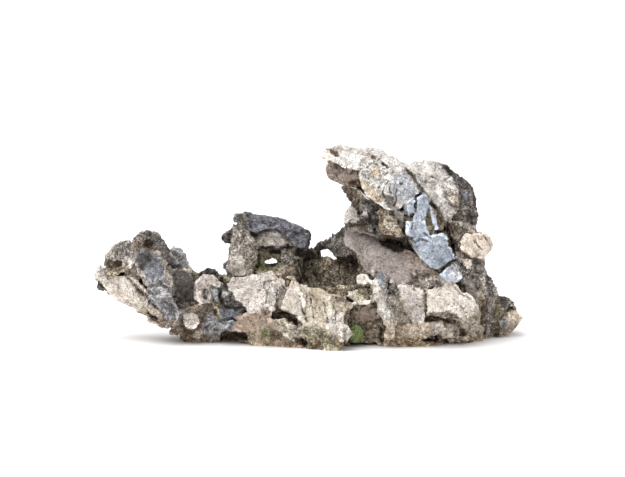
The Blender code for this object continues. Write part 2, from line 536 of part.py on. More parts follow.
def skin(stone, name):
    """An object whose mesh is the field's zero surface: a corner in each cell that the skin crosses."""
    inside = stone.distances < 0.0
    corners = list(corner_views(inside, (1, 1, 1)).values())
    crossed = np.logical_or.reduce(corners) & ~np.logical_and.reduce(corners)
    cells = np.argwhere(crossed)
    numbers = np.full(crossed.shape, -1)
    numbers[crossed] = np.arange(len(cells))

    sums = np.zeros((len(cells), 3))
    hits = np.zeros(len(cells))
    quads = []
    steps = np.eye(3, dtype=int)
    for axis in range(3):
        along, left, up = steps[axis], steps[(axis + 1) % 3], steps[(axis + 2) % 3]
        for side in (0 * left, left, up, left + up):
            start = cells + side
            near = stone.distances[tuple(start.T)]
            far = stone.distances[tuple((start + along).T)]
            crossing = (near < 0.0) != (far < 0.0)
            share = np.divide(near, near - far, out=np.zeros_like(near), where=crossing)
            sums[crossing] += (start + share[:, None] * along)[crossing]
            hits += crossing
        ahead = tuple(slice(1, None) if a == axis else slice(None) for a in range(3))
        behind = tuple(slice(None, -1) if a == axis else slice(None) for a in range(3))
        edges = np.argwhere(inside[behind] != inside[ahead])
        ring = [numbers[tuple((edges - side).T)] for side in (left + up, up, 0 * up, left)]
        ring = np.stack(ring, axis=1)
        inward = ~inside[tuple(edges.T)]
        ring[inward] = ring[inward][:, ::-1]
        quads.append(ring)
    origin = np.array([line[0] for line in stone.lines])
    places = sums / hits[:, None] * CELL + origin

    mesh = bpy.data.meshes.new(name)
    mesh.from_pydata(places.tolist(), [], np.concatenate(quads).tolist())
    body = bpy.data.objects.new(name, mesh)
    bpy.context.scene.collection.objects.link(body)
    return body


def thin_out(body, triangles):
    """Keeps as many triangles as asked, the most of them where the skin bends."""
    decimate = body.modifiers.new("Thin", "DECIMATE")
    decimate.ratio = triangles / (2 * len(body.data.polygons))
    decimate.use_collapse_triangulate = True
    graph = bpy.context.evaluated_depsgraph_get()
    thinned = bpy.data.meshes.new_from_object(body.evaluated_get(graph))
    body.modifiers.clear()
    full = body.data
    body.data = thinned
    bpy.data.meshes.remove(full)


def keep_largest(body):
    """Drops every scrap of skin that isn't joined to the stone."""
    shape = bmesh.new()
    shape.from_mesh(body.data)
    left = set(shape.verts)
    pieces = []
    while left:
        piece = {left.pop()}
        front = list(piece)
        while front:
            vertex = front.pop()
            for edge in vertex.link_edges:
                other = edge.other_vert(vertex)
                if other in left:
                    left.remove(other)
                    piece.add(other)
                    front.append(other)
        pieces.append(piece)
    pieces.sort(key=len)
    scraps = [vertex for piece in pieces[:-1] for vertex in piece]
    bmesh.ops.delete(shape, geom=scraps, context="VERTS")
    shape.to_mesh(body.data)
    shape.free()


def faults(shape):
    """The edges where a closed skin's faces don't meet two and two, or turn opposite ways."""
    bmesh.ops.recalc_face_normals(shape, faces=shape.faces)
    return [edge for edge in shape.edges if len(edge.link_faces) != 2 or not edge.is_contiguous]


def mend(body):
    """Opens the skin at every fault and closes it afresh."""
    shape = bmesh.new()
    shape.from_mesh(body.data)
    faulty = faults(shape)
    while faulty:
        corners = list({vertex for edge in faulty for vertex in edge.verts})
        bmesh.ops.delete(shape, geom=corners, context="VERTS")
        rims = [edge for edge in shape.edges if len(edge.link_faces) == 1]
        patches = bmesh.ops.holes_fill(shape, edges=rims, sides=0)["faces"]
        bmesh.ops.triangulate(shape, faces=patches)
        faulty = faults(shape)
    shape.to_mesh(body.data)
    shape.free()


def seat_on_table(body):
    """Puts every corner that lies within a hair of the table on it, so that the feet stand flat."""
    for vertex in body.data.vertices:
        if vertex.co.z < FOOT_HAIR:
            vertex.co.z = 0.0


def centre(bodies):
    """Moves the part so that the middle of the stone's box, the first body's, is over the origin."""
    places = [vertex.co for vertex in bodies[0].data.vertices]
    middle_x = (min(p.x for p in places) + max(p.x for p in places)) / 2
    middle_y = (min(p.y for p in places) + max(p.y for p in places)) / 2
    for body in bodies:
        body.data.transform(Matrix.Translation((-middle_x, -middle_y, 0)))
    print("The part was moved by", round(-middle_x, 5), round(-middle_y, 5))


def finish(body, name, colour, roughness):
    """Gives a body its one plain material."""
    material = bpy.data.materials.new(name)
    material.use_nodes = True
    shader = material.node_tree.nodes["Principled BSDF"]
    shader.inputs["Base Color"].default_value = (*colour, 1.0)
    shader.inputs["Roughness"].default_value = roughness
    shader.inputs["Metallic"].default_value = 0.0
    body.data.materials.clear()
    body.data.materials.append(material)


def moss_lump():
    """The lump of moss in the pocket beside the round cobble."""
    shape = bmesh.new()
    bmesh.ops.create_icosphere(shape, subdivisions=3, radius=1.0)
    lump = Round(MOSS_MIDDLE, MOSS_RADII, MOSS_TURN)
    stretch = Matrix.Diagonal((*lump.radii, 1.0))
    placed = Matrix.Translation(lump.middle) @ lump.spin.to_4x4() @ stretch
    bmesh.ops.transform(shape, matrix=placed, verts=shape.verts)
    mesh = bpy.data.meshes.new("moss")
    shape.to_mesh(mesh)
    shape.free()
    moss = bpy.data.objects.new("moss", mesh)
    bpy.context.scene.collection.objects.link(moss)
    return moss


def build():
    for leftover in list(bpy.data.objects):
        bpy.data.objects.remove(leftover)
    field = Field()
    for section in (bow, saddle, front_rim, tower, back_wall, peak_body, peak_head, plates, peak_foot,
                    weathered_back, hollows):
        section(field)
    weather(field)
    field.cut_at_table()
    untangle(field)
    stone = skin(field, "stone")
    keep_largest(stone)
    thin_out(stone, TRIANGLES)
    mend(stone)
    keep_largest(stone)
    seat_on_table(stone)
    moss = moss_lump()
    centre([stone, moss])
    finish(stone, "limestone", (0.42, 0.38, 0.33), 0.85)
    finish(moss, "moss", (0.17, 0.24, 0.07), 0.95)


build()
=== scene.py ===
"""Scholars rock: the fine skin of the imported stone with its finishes, a calcite vein, and moss in a pocket.

The stone is drawn from the front, as in its model. A drawn point is (across, rise, depth) in drawing
units of a millimetre: across runs right from the middle, rise is the height at which the eye sees the
point against an upright through the middle, and depth runs away from the eye.
"""

import math
import random
from collections import namedtuple

import bmesh
import bpy
import numpy as np
from mathutils import Matrix, Vector, noise
from mathutils.bvhtree import BVHTree


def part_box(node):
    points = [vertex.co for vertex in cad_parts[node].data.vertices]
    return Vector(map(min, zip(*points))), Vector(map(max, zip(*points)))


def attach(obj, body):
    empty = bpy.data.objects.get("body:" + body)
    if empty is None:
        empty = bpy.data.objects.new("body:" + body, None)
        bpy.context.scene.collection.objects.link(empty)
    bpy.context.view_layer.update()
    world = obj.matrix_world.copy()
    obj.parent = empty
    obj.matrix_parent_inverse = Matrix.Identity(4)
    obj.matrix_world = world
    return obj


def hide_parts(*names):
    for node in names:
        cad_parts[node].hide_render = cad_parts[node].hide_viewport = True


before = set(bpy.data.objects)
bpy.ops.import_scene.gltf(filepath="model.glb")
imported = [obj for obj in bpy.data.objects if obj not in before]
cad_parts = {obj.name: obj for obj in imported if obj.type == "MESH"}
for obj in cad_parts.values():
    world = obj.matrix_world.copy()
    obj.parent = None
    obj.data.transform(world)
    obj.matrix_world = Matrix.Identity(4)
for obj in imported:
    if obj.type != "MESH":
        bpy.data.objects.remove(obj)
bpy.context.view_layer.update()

# The drawing, as in the model
UNIT = 0.001
SIGHT_ANGLE = math.radians(8.0)
MOSS_MIDDLE = (45.5, 6.5, -47)
MOSS_RADII = (7.5, 8.0, 9.5)
MOSS_TURN = (0, 8, 0)
MOSS_GAP = 1.3
FOOT_HAIR = 0.0005

# The field that the skin is drawn from: its box in drawing units, and its cell and reach in metres
FIELD_LOW = (-226, -100)
FIELD_HIGH = (226, 110)
FIELD_TOP = 216
CELL = 0.00115
CELLS_UNDER_TABLE = 2.5
REACH = 0.0058
FILLET = 0.0022
FILLED_CELLS = -0.1

# How the skin is weathered, in metres where it is a size or a depth
CHIP_SIZE = 0.013
CHIP_TILT = 0.0040
ROLL_SIZE = 0.030
ROLL_DEPTH = 0.0026
GRAIN_SIZE = 0.0065
GRAIN_DEPTH = 0.0012
CALM_SHARE = 0.12
WEATHERED_SHARE = 0.98
NOISE_SEED = 7
NOISE_STEP = 2.0
ROLL_ROUGHNESS = 0.8
ROLL_OCTAVES = 3
CHIP_WARP = 0.25
CHIP_DRAW = 7.0

# How much a block narrows toward its far side, and what rubble is like
TAPER = 0.82
PLATE_TAPER = 0.9
RUBBLE_CORNERS = 13
RUBBLE_SCALES = (0.6, 1.15)

Finish = namedtuple("Finish", "light dark crumb mottle gloss")

# What the stone's surfaces look like: a light and a dark tone, how crumbly, how mottled, how glossy.
FINISHES = {
    "matrix": Finish((198, 189, 179), (92, 84, 76), 0.85, 0.0, 0.0),
    "chalk": Finish((226, 222, 218), (164, 157, 150), 0.34, 0.0, 0.0),
    "white": Finish((219, 210, 200), (170, 160, 149), 0.28, 0.0, 0.0),
    "bluish": Finish((206, 208, 212), (136, 136, 140), 0.4, 0.35, 0.1),
    "pale": Finish((222, 215, 207), (158, 150, 142), 0.42, 0.0, 0.0),
    "ash": Finish((208, 204, 198), (128, 123, 117), 0.75, 0.0, 0.0),
    "cream": Finish((234, 223, 211), (176, 164, 151), 0.38, 0.0, 0.0),
    "peach": Finish((232, 218, 204), (190, 174, 160), 0.28, 0.0, 0.0),
    "pink": Finish((214, 205, 198), (152, 142, 135), 0.36, 0.0, 0.0),
    "tan": Finish((214, 200, 181), (150, 134, 116), 0.5, 0.0, 0.0),
    "fan": Finish((194, 175, 158), (156, 137, 122), 0.35, 0.0, 0.05),
    "beige": Finish((216, 207, 192), (150, 139, 123), 0.6, 0.0, 0.0),
    "flute": Finish((216, 206, 190), (160, 147, 128), 0.36, 0.0, 0.0),
    "brown": Finish((156, 142, 128), (86, 74, 64), 0.8, 0.0, 0.0),
    "warm": Finish((188, 174, 164), (132, 117, 106), 0.4, 0.0, 0.05),
    "soil": Finish((124, 106, 90), (60, 48, 38), 0.9, 0.0, 0.0),
    "rust": Finish((176, 154, 126), (112, 92, 70), 0.8, 0.0, 0.0),
    "ochre": Finish((198, 185, 164), (112, 99, 82), 1.0, 0.0, 0.0),
    "olive": Finish((164, 155, 133), (94, 86, 70), 0.75, 0.0, 0.0),
    "wall": Finish((180, 168, 148), (84, 75, 63), 0.95, 0.0, 0.0),
    "green": Finish((152, 154, 118), (106, 107, 78), 0.6, 0.0, 0.0),
    "scoop": Finish((164, 155, 149), (130, 120, 115), 0.25, 0.0, 0.05),
    "slate": Finish((142, 145, 151), (80, 81, 85), 0.45, 0.8, 0.15),
    "plate": Finish((180, 187, 198), (128, 134, 144), 0.2, 0.4, 0.15),
    "rim": Finish((190, 192, 194), (130, 130, 131), 0.5, 0.3, 0.0),
    "mottled": Finish((176, 174, 175), (90, 86, 86), 0.6, 1.0, 0.15),
    "dusk": Finish((112, 109, 110), (60, 57, 57), 0.4, 0.6, 0.15),
    "charcoal": Finish((124, 122, 128), (30, 28, 30), 0.55, 1.2, 0.15),
    "slick": Finish((120, 114, 110), (80, 75, 71), 0.45, 0.0, 0.1),
    "dark": Finish((130, 124, 120), (56, 52, 49), 0.95, 0.2, 0.0),
    "grey": Finish((174, 167, 160), (92, 86, 80), 0.95, 0.2, 0.0),
    # The cave and black tones are painted shade, laid in hollows and recesses.
    "cave_shade": Finish((118, 102, 90), (50, 41, 34), 0.75, 0.0, 0.0),
    "black_shade": Finish((66, 57, 49), (28, 23, 19), 0.5, 0.0, 0.0),
}
FINISH_NAMES = list(FINISHES)


class Field:
    """Distances to the skin on a grid in metres, below zero inside the stone, and each point's finish."""

    def __init__(self):
        low = (FIELD_LOW[0] * UNIT, FIELD_LOW[1] * UNIT, -CELLS_UNDER_TABLE * CELL)
        high = (FIELD_HIGH[0] * UNIT, FIELD_HIGH[1] * UNIT, FIELD_TOP * UNIT)
        self.lines = [np.arange(a, b, CELL).astype(np.float32) for a, b in zip(low, high)]
        shape = [len(line) for line in self.lines]
        self.distances = np.full(shape, REACH, np.float32)
        self.finishes = np.zeros(shape, np.uint8)

    def window(self, low, high):
        """The part of the grid round a box, as slices, with its X, Y and Z lines ready to combine."""
        slices = []
        for line, start, end in zip(self.lines, low, high):
            slices.append(slice(*np.searchsorted(line, (start - REACH, end + REACH))))
        x, y, z = (line[part] for line, part in zip(self.lines, slices))
        return tuple(slices), x[:, None, None], y[None, :, None], z[None, None, :]

    def add(self, solid, finish):
        """Joins a solid to the stone, with a small fillet in the corner between them."""
        part, *lines = self.window(solid.low, solid.high)
        old = self.distances[part]
        new = solid.distance(*lines)
        self.finishes[part][new < old] = FINISH_NAMES.index(finish)
        share = np.clip(0.5 + 0.5 * (old - new) / FILLET, 0.0, 1.0)
        self.distances[part] = old + (new - old) * share - FILLET * share * (1.0 - share)

    def take(self, solid, finish=None):
        """Takes a solid out of the stone, and gives what it bares a finish of its own."""
        part, *lines = self.window(solid.low, solid.high)
        old = self.distances[part]
        new = -solid.distance(*lines)
        if finish:
            self.finishes[part][new > old - 0.5 * CELL] = FINISH_NAMES.index(finish)
        self.distances[part] = np.maximum(old, new)

    def cut_at_table(self):
        """Takes away what reaches under the table's top."""
        self.distances = np.maximum(self.distances, -self.lines[2][None, None, :])


class Hull:
    """The tightest flat-faced solid round some points, as the planes of its faces."""

    def __init__(self, points):
        shape = bmesh.new()
        for point in points:
            shape.verts.new(point)
        made = bmesh.ops.convex_hull(shape, input=shape.verts)
        inner = {item for item in made["geom_interior"] if isinstance(item, bmesh.types.BMVert)}
        bmesh.ops.delete(shape, geom=list(inner), context="VERTS")
        middle = sum((Vector(point) for point in points), Vector()) / len(points)
        self.planes = []
        for face in shape.faces:
            if face.calc_area() > 0.0:
                side = 1.0 if face.normal.dot(face.verts[0].co - middle) > 0.0 else -1.0
                self.planes.append((*(face.normal * side), face.normal.dot(face.verts[0].co) * side))
        shape.free()
        self.low = [min(point[axis] for point in points) for axis in range(3)]
        self.high = [max(point[axis] for point in points) for axis in range(3)]

    def distance(self, x, y, z):
        nearest = np.float32(-REACH * 9.0)
        for normal_x, normal_y, normal_z, offset in self.planes:
            level = np.float32(normal_x) * x + np.float32(normal_y) * y
            nearest = np.maximum(nearest, level + (np.float32(normal_z) * z - np.float32(offset)))
        return nearest


class Round:
    """An ellipsoid at a drawn place. Its radii run along X, Y and Z before it is turned, in degrees."""

    def __init__(self, centre, radii, turn=(0, 0, 0)):
        about_x, about_y, about_z = (Matrix.Rotation(math.radians(turn[i]), 3, "XYZ"[i]) for i in range(3))
        self.spin = about_z @ about_y @ about_x
        self.middle = seat(*centre)
        self.radii = [radius * UNIT for radius in radii]
        extent = [math.hypot(*(row[i] * self.radii[i] for i in range(3))) for row in self.spin]
        self.low = [self.middle[axis] - extent[axis] for axis in range(3)]
        self.high = [self.middle[axis] + extent[axis] for axis in range(3)]

    def distance(self, x, y, z):
        away = (x - self.middle.x, y - self.middle.y, z - self.middle.z)
        reach = 0.0
        slope = 0.0
        for axis in range(3):
            along = sum(self.spin[row][axis] * away[row] for row in range(3)) / self.radii[axis]
            reach = reach + along**2
            slope = slope + (along / self.radii[axis]) ** 2
        reach = np.sqrt(reach)
        return (reach * (reach - 1.0) / np.sqrt(slope + 1e-6)).astype(np.float32)


def shown(name, data):
    """An object of a mesh, a curve, a lamp or a camera, put in the scene."""
    body = bpy.data.objects.new(name, data)
    bpy.context.scene.collection.objects.link(body)
    return body


def modelled(name, shape):
    """An object with a shape's mesh, put in the scene."""
    mesh = bpy.data.meshes.new(name)
    shape.to_mesh(mesh)
    shape.free()
    return shown(name, mesh)


def aim(thing, toward):
    """Turns a camera or a lamp to look along a direction."""
    thing.rotation_mode = "QUATERNION"
    thing.rotation_quaternion = toward.to_track_quat("-Z", "Y")


def seat(across, rise, depth):
    """The place in metres of a drawn point."""
    height = rise / math.cos(SIGHT_ANGLE) - depth * math.tan(SIGHT_ANGLE)
    return Vector((across, depth, height)) * UNIT


def drawn(places):
    """The drawn points, across, rise and depth, of places in metres."""
    across, depth, height = (places / UNIT).T
    rise = (height + depth * math.tan(SIGHT_ANGLE)) * math.cos(SIGHT_ANGLE)
    return np.stack([across, rise, depth], axis=1)


def block(stone, finish, corners, back, taper=TAPER):
    """A broken block: its drawn front corners, and the same corners pushed back and drawn together."""
    middle_across = sum(corner[0] for corner in corners) / len(corners)
    middle_rise = sum(corner[1] for corner in corners) / len(corners)
    points = []
    for across, rise, depth in corners:
        far_across = middle_across + (across - middle_across) * taper
        far_rise = middle_rise + (rise - middle_rise) * taper
        points.append(seat(across, rise, depth))
        points.append(seat(far_across, far_rise, depth + back))
    stone.add(Hull(points), finish)


def slab(stone, finish, outline, depth, back, taper=TAPER):
    """A block whose drawn corners all lie at one depth."""
    block(stone, finish, [(across, rise, depth) for across, rise in outline], back, taper)


def boulder(stone, finish, centre, radii, turn=(0, 0, 0)):
    """A rounded lump."""
    stone.add(Round(centre, radii, turn), finish)


def hollow(stone, finish, centre, radii, turn=(0, 0, 0)):
    """A rounded hollow."""
    stone.take(Round(centre, radii, turn), finish)


def rubble(stone, seed, centre, spread, size, count, finishes):
    """Broken lumps scattered about a drawn middle, each the hull of a few points on a ball."""
    chance = random.Random(seed)
    for number in range(count):
        middle = seat(*(value + reach * chance.uniform(-1.0, 1.0) for value, reach in zip(centre, spread)))
        scale = chance.uniform(*RUBBLE_SCALES) * UNIT
        points = []
        for _ in range(RUBBLE_CORNERS):
            corner = Vector([chance.gauss(0.0, 1.0) for _ in range(3)]).normalized()
            points.append(middle + Vector([corner[axis] * size[axis] * scale for axis in range(3)]))
        stone.add(Hull(points), finishes[number % len(finishes)])


def rib(stone, finish, stations):
    """A tapering rib through drawn stations (across, rise, depth, radius), hulled from ball to ball."""
    ball = bmesh.new()
    bmesh.ops.create_icosphere(ball, subdivisions=1, radius=UNIT)
    corners = [vertex.co.copy() for vertex in ball.verts]
    ball.free()
    for near, far in zip(stations, stations[1:]):
        points = []
        for *centre, radius in (near, far):
            points.extend(seat(*centre) + corner * radius for corner in corners)
        stone.add(Hull(points), finish)


def bow(stone):
    """The wing that rises at the left: a pale keel, a blue slab on its face, and a crumbling crown."""
    block(stone, "cream", [
        (-210, 57, -8), (-199, 44, -14), (-179, 35, -20), (-160, 22, -24), (-136, 12, -20), (-136, 30, -34),
        (-160, 46, -34), (-177, 61, -30), (-192, 68, -24), (-206, 65, -12),
    ], 45)
    slab(stone, "pale", [(-214, 66), (-210, 74), (-201, 72), (-198, 60), (-207, 56), (-213, 60)], -14, 26)
    slab(stone, "cream", [(-211, 60), (-200, 64), (-192, 60), (-196, 50), (-206, 53)], -10, 30)
    boulder(stone, "brown", (-159, 23, -20), (7, 8, 5))
    boulder(stone, "tan", (-145, 16, -18), (6, 8, 5))
    boulder(stone, "brown", (-134, 9, -16), (7, 8, 5))
    boulder(stone, "soil", (-124, 3, -12), (6, 8, 4))
    boulder(stone, "ochre", (-196, 67, -22), (9, 7, 4))
    slab(stone, "dark", [(-213, 57), (-210, 61), (-202, 58), (-194, 50), (-198, 46), (-212, 51)], -6, 28)
    block(stone, "matrix", [
        (-205, 83, -14), (-205, 73, -14), (-198, 93, -16), (-191, 99, -16), (-182, 99, -16),
        (-176, 93, -24), (-174, 78, -30), (-182, 66, -28), (-200, 66, -20),
    ], 42)
    block(stone, "slate", [
        (-177, 84, -32), (-170, 89, -32), (-152, 88, -34), (-146, 78, -38), (-143, 63, -43),
        (-138, 50, -47), (-133, 38, -49), (-140, 29, -47), (-150, 37, -47), (-160, 49, -44),
        (-167, 62, -41), (-174, 74, -37),
    ], 22)
    block(stone, "grey", [
        (-177, 96, -22), (-176, 102, -22), (-171, 107, -22), (-164, 108, -22), (-152, 107, -24),
        (-146, 101, -26), (-140, 93, -28), (-136, 82, -28), (-150, 78, -32), (-165, 82, -32),
        (-175, 88, -28),
    ], 46)
    slab(stone, "mottled", [
        (-140, 91), (-137, 94), (-130, 91), (-126, 85), (-122, 76), (-121, 68), (-138, 64), (-144, 78),
    ], -12, 40)
    slab(stone, "matrix", [(-175, 78), (-120, 70), (-110, 40), (-105, 10), (-135, 15), (-160, 40)], -24, 50)
    slab(stone, "matrix", [(-202, 86), (-170, 98), (-140, 90), (-140, 40), (-170, 40), (-200, 60)], -8, 30)
    slab(stone, "cream", [(-186, 78), (-174, 84), (-166, 66), (-172, 56), (-188, 62)], -22, 26)
    block(stone, "mottled", [
        (-165, 50, -46), (-148, 54, -50), (-135, 42, -52), (-128, 28, -50), (-130, 16, -44),
        (-142, 12, -40), (-152, 22, -40), (-162, 35, -42),
    ], 30)
    slab(stone, "tan", [(-166, 28), (-162, 19), (-152, 15), (-140, 18), (-140, 30)], -26, 24)
    boulder(stone, "mottled", (-122, 36, -46), (5, 4, 4.5))
    rib(stone, "matrix", [
        (-152, 88, -34, 3), (-146, 76, -39, 3), (-142, 62, -43, 3), (-134, 45, -48, 3), (-124, 36, -46, 3),
    ])


def saddle(stone):
    """The low ground between the bow and the tower, with its cobbled foot."""
    block(stone, "pink", [
        (-115, 59, -38), (-106, 65, -36), (-100, 63, -38), (-97, 50, -42), (-100, 37, -42), (-110, 35, -42),
        (-116, 42, -42),
    ], 44)
    slab(stone, "dark", [
        (-112, 60), (-107, 68), (-103, 72), (-97, 70), (-91, 63), (-95, 52), (-110, 52),
    ], 2, 34)
    slab(stone, "brown", [(-95, 64), (-88, 64), (-80, 62), (-76, 50), (-95, 50)], 6, 36)
    slab(stone, "olive", [(-124, 71), (-117, 69), (-110, 62), (-112, 48), (-124, 48)], -10, 36)
    block(stone, "brown", [
        (-142, 28, -40), (-110, 37, -42), (-88, 42, -40), (-86, 10, -26), (-96, -8, -14), (-110, -8, -14),
        (-126, 8, -22), (-140, 12, -28),
    ], 62)
    boulder(stone, "cream", (-119, 19, -38), (7.5, 7, 8.5))
    boulder(stone, "beige", (-112, 5, -24), (4.5, 4.5, 5))
    block(stone, "mottled", [
        (-107, 18, -32), (-98, 28, -38), (-89, 22, -36), (-89, 5, -24), (-94, -10, -10), (-105, -10, -10),
        (-109, 10, -24),
    ], 30)
    block(stone, "dark", [
        (-101, 54, -42), (-94, 57, -40), (-84, 50, -44), (-72, 39, -48), (-62, 32, -50), (-70, 29, -48),
        (-84, 31, -46), (-96, 34, -44),
    ], 36)
    block(stone, "grey", [
        (-110, 50, -38), (-106, 64, -38), (-96, 65, -34), (-88, 56, -38), (-98, 50, -42),
    ], 36)
    block(stone, "slate", [
        (-91, 29, -44), (-75, 31, -46), (-65, 29, -44), (-72, 22, -40), (-88, 20, -38),
    ], 40)
    block(stone, "slate", [
        (-94, 17, -40), (-80, 18, -42), (-72, 18, -40), (-80, 9, -32), (-91, 5, -26),
    ], 40)


def front_rim(stone):
    """The wall of pale lumps along the front of the basin, standing on arched feet."""
    block(stone, "pink", [
        (-82, 56, -34), (-78, 63, -26), (-64, 63, -24), (-50, 64, -26), (-39, 67, -28), (-29, 60, -34),
        (-26, 53, -42), (-32, 43, -52), (-34, 30, -56), (-48, 32, -58), (-60, 27, -56), (-67, 36, -52),
        (-77, 44, -46),
    ], 34)
    block(stone, "white", [
        (-24, 49, -50), (-16, 61, -50), (-11, 56, -52), (-6, 40, -62), (-8, 20, -66), (-17, 27, -64),
        (-30, 31, -60), (-28, 42, -56),
    ], 26)
    block(stone, "flute", [
        (-11, 56, -50), (0, 49, -50), (15, 43, -52), (35, 44, -54), (44, 37, -58), (34, 22, -70),
        (32, 5, -78), (25, -14, -74), (5, -14, -62), (-10, 5, -60), (-12, 22, -64),
    ], 36)
    block(stone, "beige", [
        (35, 44, -52), (42, 48, -50), (56, 52, -50), (68, 50, -54), (65, 40, -60), (45, 37, -58),
    ], 26)
    block(stone, "fan", [
        (-86, 6, -26), (-78, 18, -38), (-65, 27, -48), (-48, 32, -54), (-38, 26, -56), (-40, 12, -52),
        (-48, -10, -40), (-65, 0, -34),
    ], 40)
    block(stone, "fan", [
        (-42, 22, -58), (-25, 22, -56), (-10, 10, -58), (-7, -12, -52), (-25, -12, -42), (-42, -12, -36),
    ], 40)
    boulder(stone, "tan", (61, 7, -52), (10, 12, 13))
    slab(stone, "pale", [(28, 2), (34, 15), (40, 7), (36, -2)], -75, 14)
    rib(stone, "ash", [
        (67, 70, -46, 7), (71, 60, -52, 6), (70, 45, -60, 6), (74, 32, -64, 6), (79, 18, -62, 6),
        (78, 6, -54, 7),
    ])
    slab(stone, "white", [(46, 63), (52, 66), (57, 65), (60, 59), (53, 55), (47, 57)], -56, 12)
    slab(stone, "white", [(58, 60), (66, 59), (68, 50), (64, 49), (61, 55)], -58, 12)
    slab(stone, "wall", [(-64, 46), (70, 44), (110, 60), (110, -4), (-64, -4)], -40, 34)
    slab(stone, "pale", [(-36, 54), (-16, 52), (-12, 32), (-30, 31), (-38, 38)], -46, 24)
    slab(stone, "beige", [(82, 58), (96, 44), (106, 18), (84, 12), (78, 40)], -52, 20)
    slab(stone, "tan", [(108, 36), (160, 36), (156, 2), (112, 2)], -36, 24)
    block(stone, "soil", [
        (-88, 20, -14), (60, 20, -24), (150, 24, -24), (150, -14, -2), (60, -14, -12), (-88, -14, 4),
    ], 84)
    block(stone, "fan", [
        (-62, 20, -44), (-44, 22, -52), (-40, 2, -48), (-44, -10, -38), (-58, -9, -34), (-64, 4, -38),
    ], 30)
    block(stone, "flute", [
        (0, 16, -66), (30, 16, -78), (34, -2, -80), (24, -16, -72), (8, -16, -66), (-4, -10, -58),
    ], 30)


def tower(stone):
    """The pierced tower at the back: two piers under a dark sloping cap, with a window between them."""
    block(stone, "charcoal", [
        (-75, 121, 4), (-74, 124, 10), (-64, 126, 12), (-45, 125, 12), (-26, 121, 12), (-12, 115, 8),
        (-3, 110, 8), (0, 103, 10), (-2, 94, 14), (-15, 101, 4), (-32, 110, 2), (-60, 110, 2),
        (-72, 112, 4),
    ], 48)
    slab(stone, "charcoal", [(-22, 104), (-15, 93), (-7, 89), (-3, 94), (-1, 104), (-10, 112)], 2, 42)
    slab(stone, "dark", [
        (-88, 100), (-87, 104), (-80, 110), (-76, 113), (-71, 115), (-70, 96), (-79, 95),
    ], 18, 28)
    block(stone, "matrix", [
        (-76, 114, 8), (-60, 110, 8), (-54, 100, 10), (-52, 88, 10), (-56, 78, 8), (-58, 58, 6),
        (-82, 54, 4), (-80, 78, 8), (-82, 92, 12),
    ], 42)
    slab(stone, "matrix", [(-62, 110), (-18, 107), (-14, 92), (-30, 90), (-45, 90), (-58, 92)], 10, 40)
    block(stone, "matrix", [
        (-30, 96, 16), (-14, 94, 16), (-8, 84, 18), (-8, 55, 10), (-30, 55, 14), (-29, 78, 18),
    ], 34)
    slab(stone, "olive", [(-60, 98), (-20, 98), (-20, 55), (-60, 55)], 18, 28)
    slab(stone, "dark", [(-20, 98), (-1, 91), (8, 84), (-4, 82), (-18, 86)], 24, 26)
    block(stone, "olive", [(-58, 72, 14), (-30, 74, 20), (-14, 68, 14), (-10, 55, -8), (-45, 60, -16)], 34)
    slab(stone, "olive", [(-84, 62), (-60, 62), (-60, 10), (-84, 10)], -10, 70)
    slab(stone, "wall", [(-70, 62), (-12, 60), (-12, 20), (-70, 20)], -24, 50)


def back_wall(stone):
    """The broken wall behind the basin, with a thin arch where it meets the peak."""
    block(stone, "wall", [
        (-15, 90, 38), (0, 92, 42), (8, 91, 44), (11, 86, 44), (10, 40, 26), (-12, 40, 26),
    ], 26)
    block(stone, "wall", [(4, 83, 44), (21, 83, 40), (44, 84, 30), (48, 40, 18), (6, 40, 26)], 30)
    rib(stone, "dark", [
        (6, 87, 46, 4.6), (10, 92, 44, 3.7), (15, 95, 42, 3.6), (20, 95, 38, 4), (25, 90, 34, 5.5),
    ])
    slab(stone, "grey", [
        (22, 97), (25, 105), (31, 109), (36, 114), (42, 112), (44, 84), (30, 78), (23, 82),
    ], 22, 34)
    block(stone, "soil", [(-60, 20, 40), (60, 20, 46), (150, 30, 46), (150, -20, 46), (-60, -20, 40)], 34)


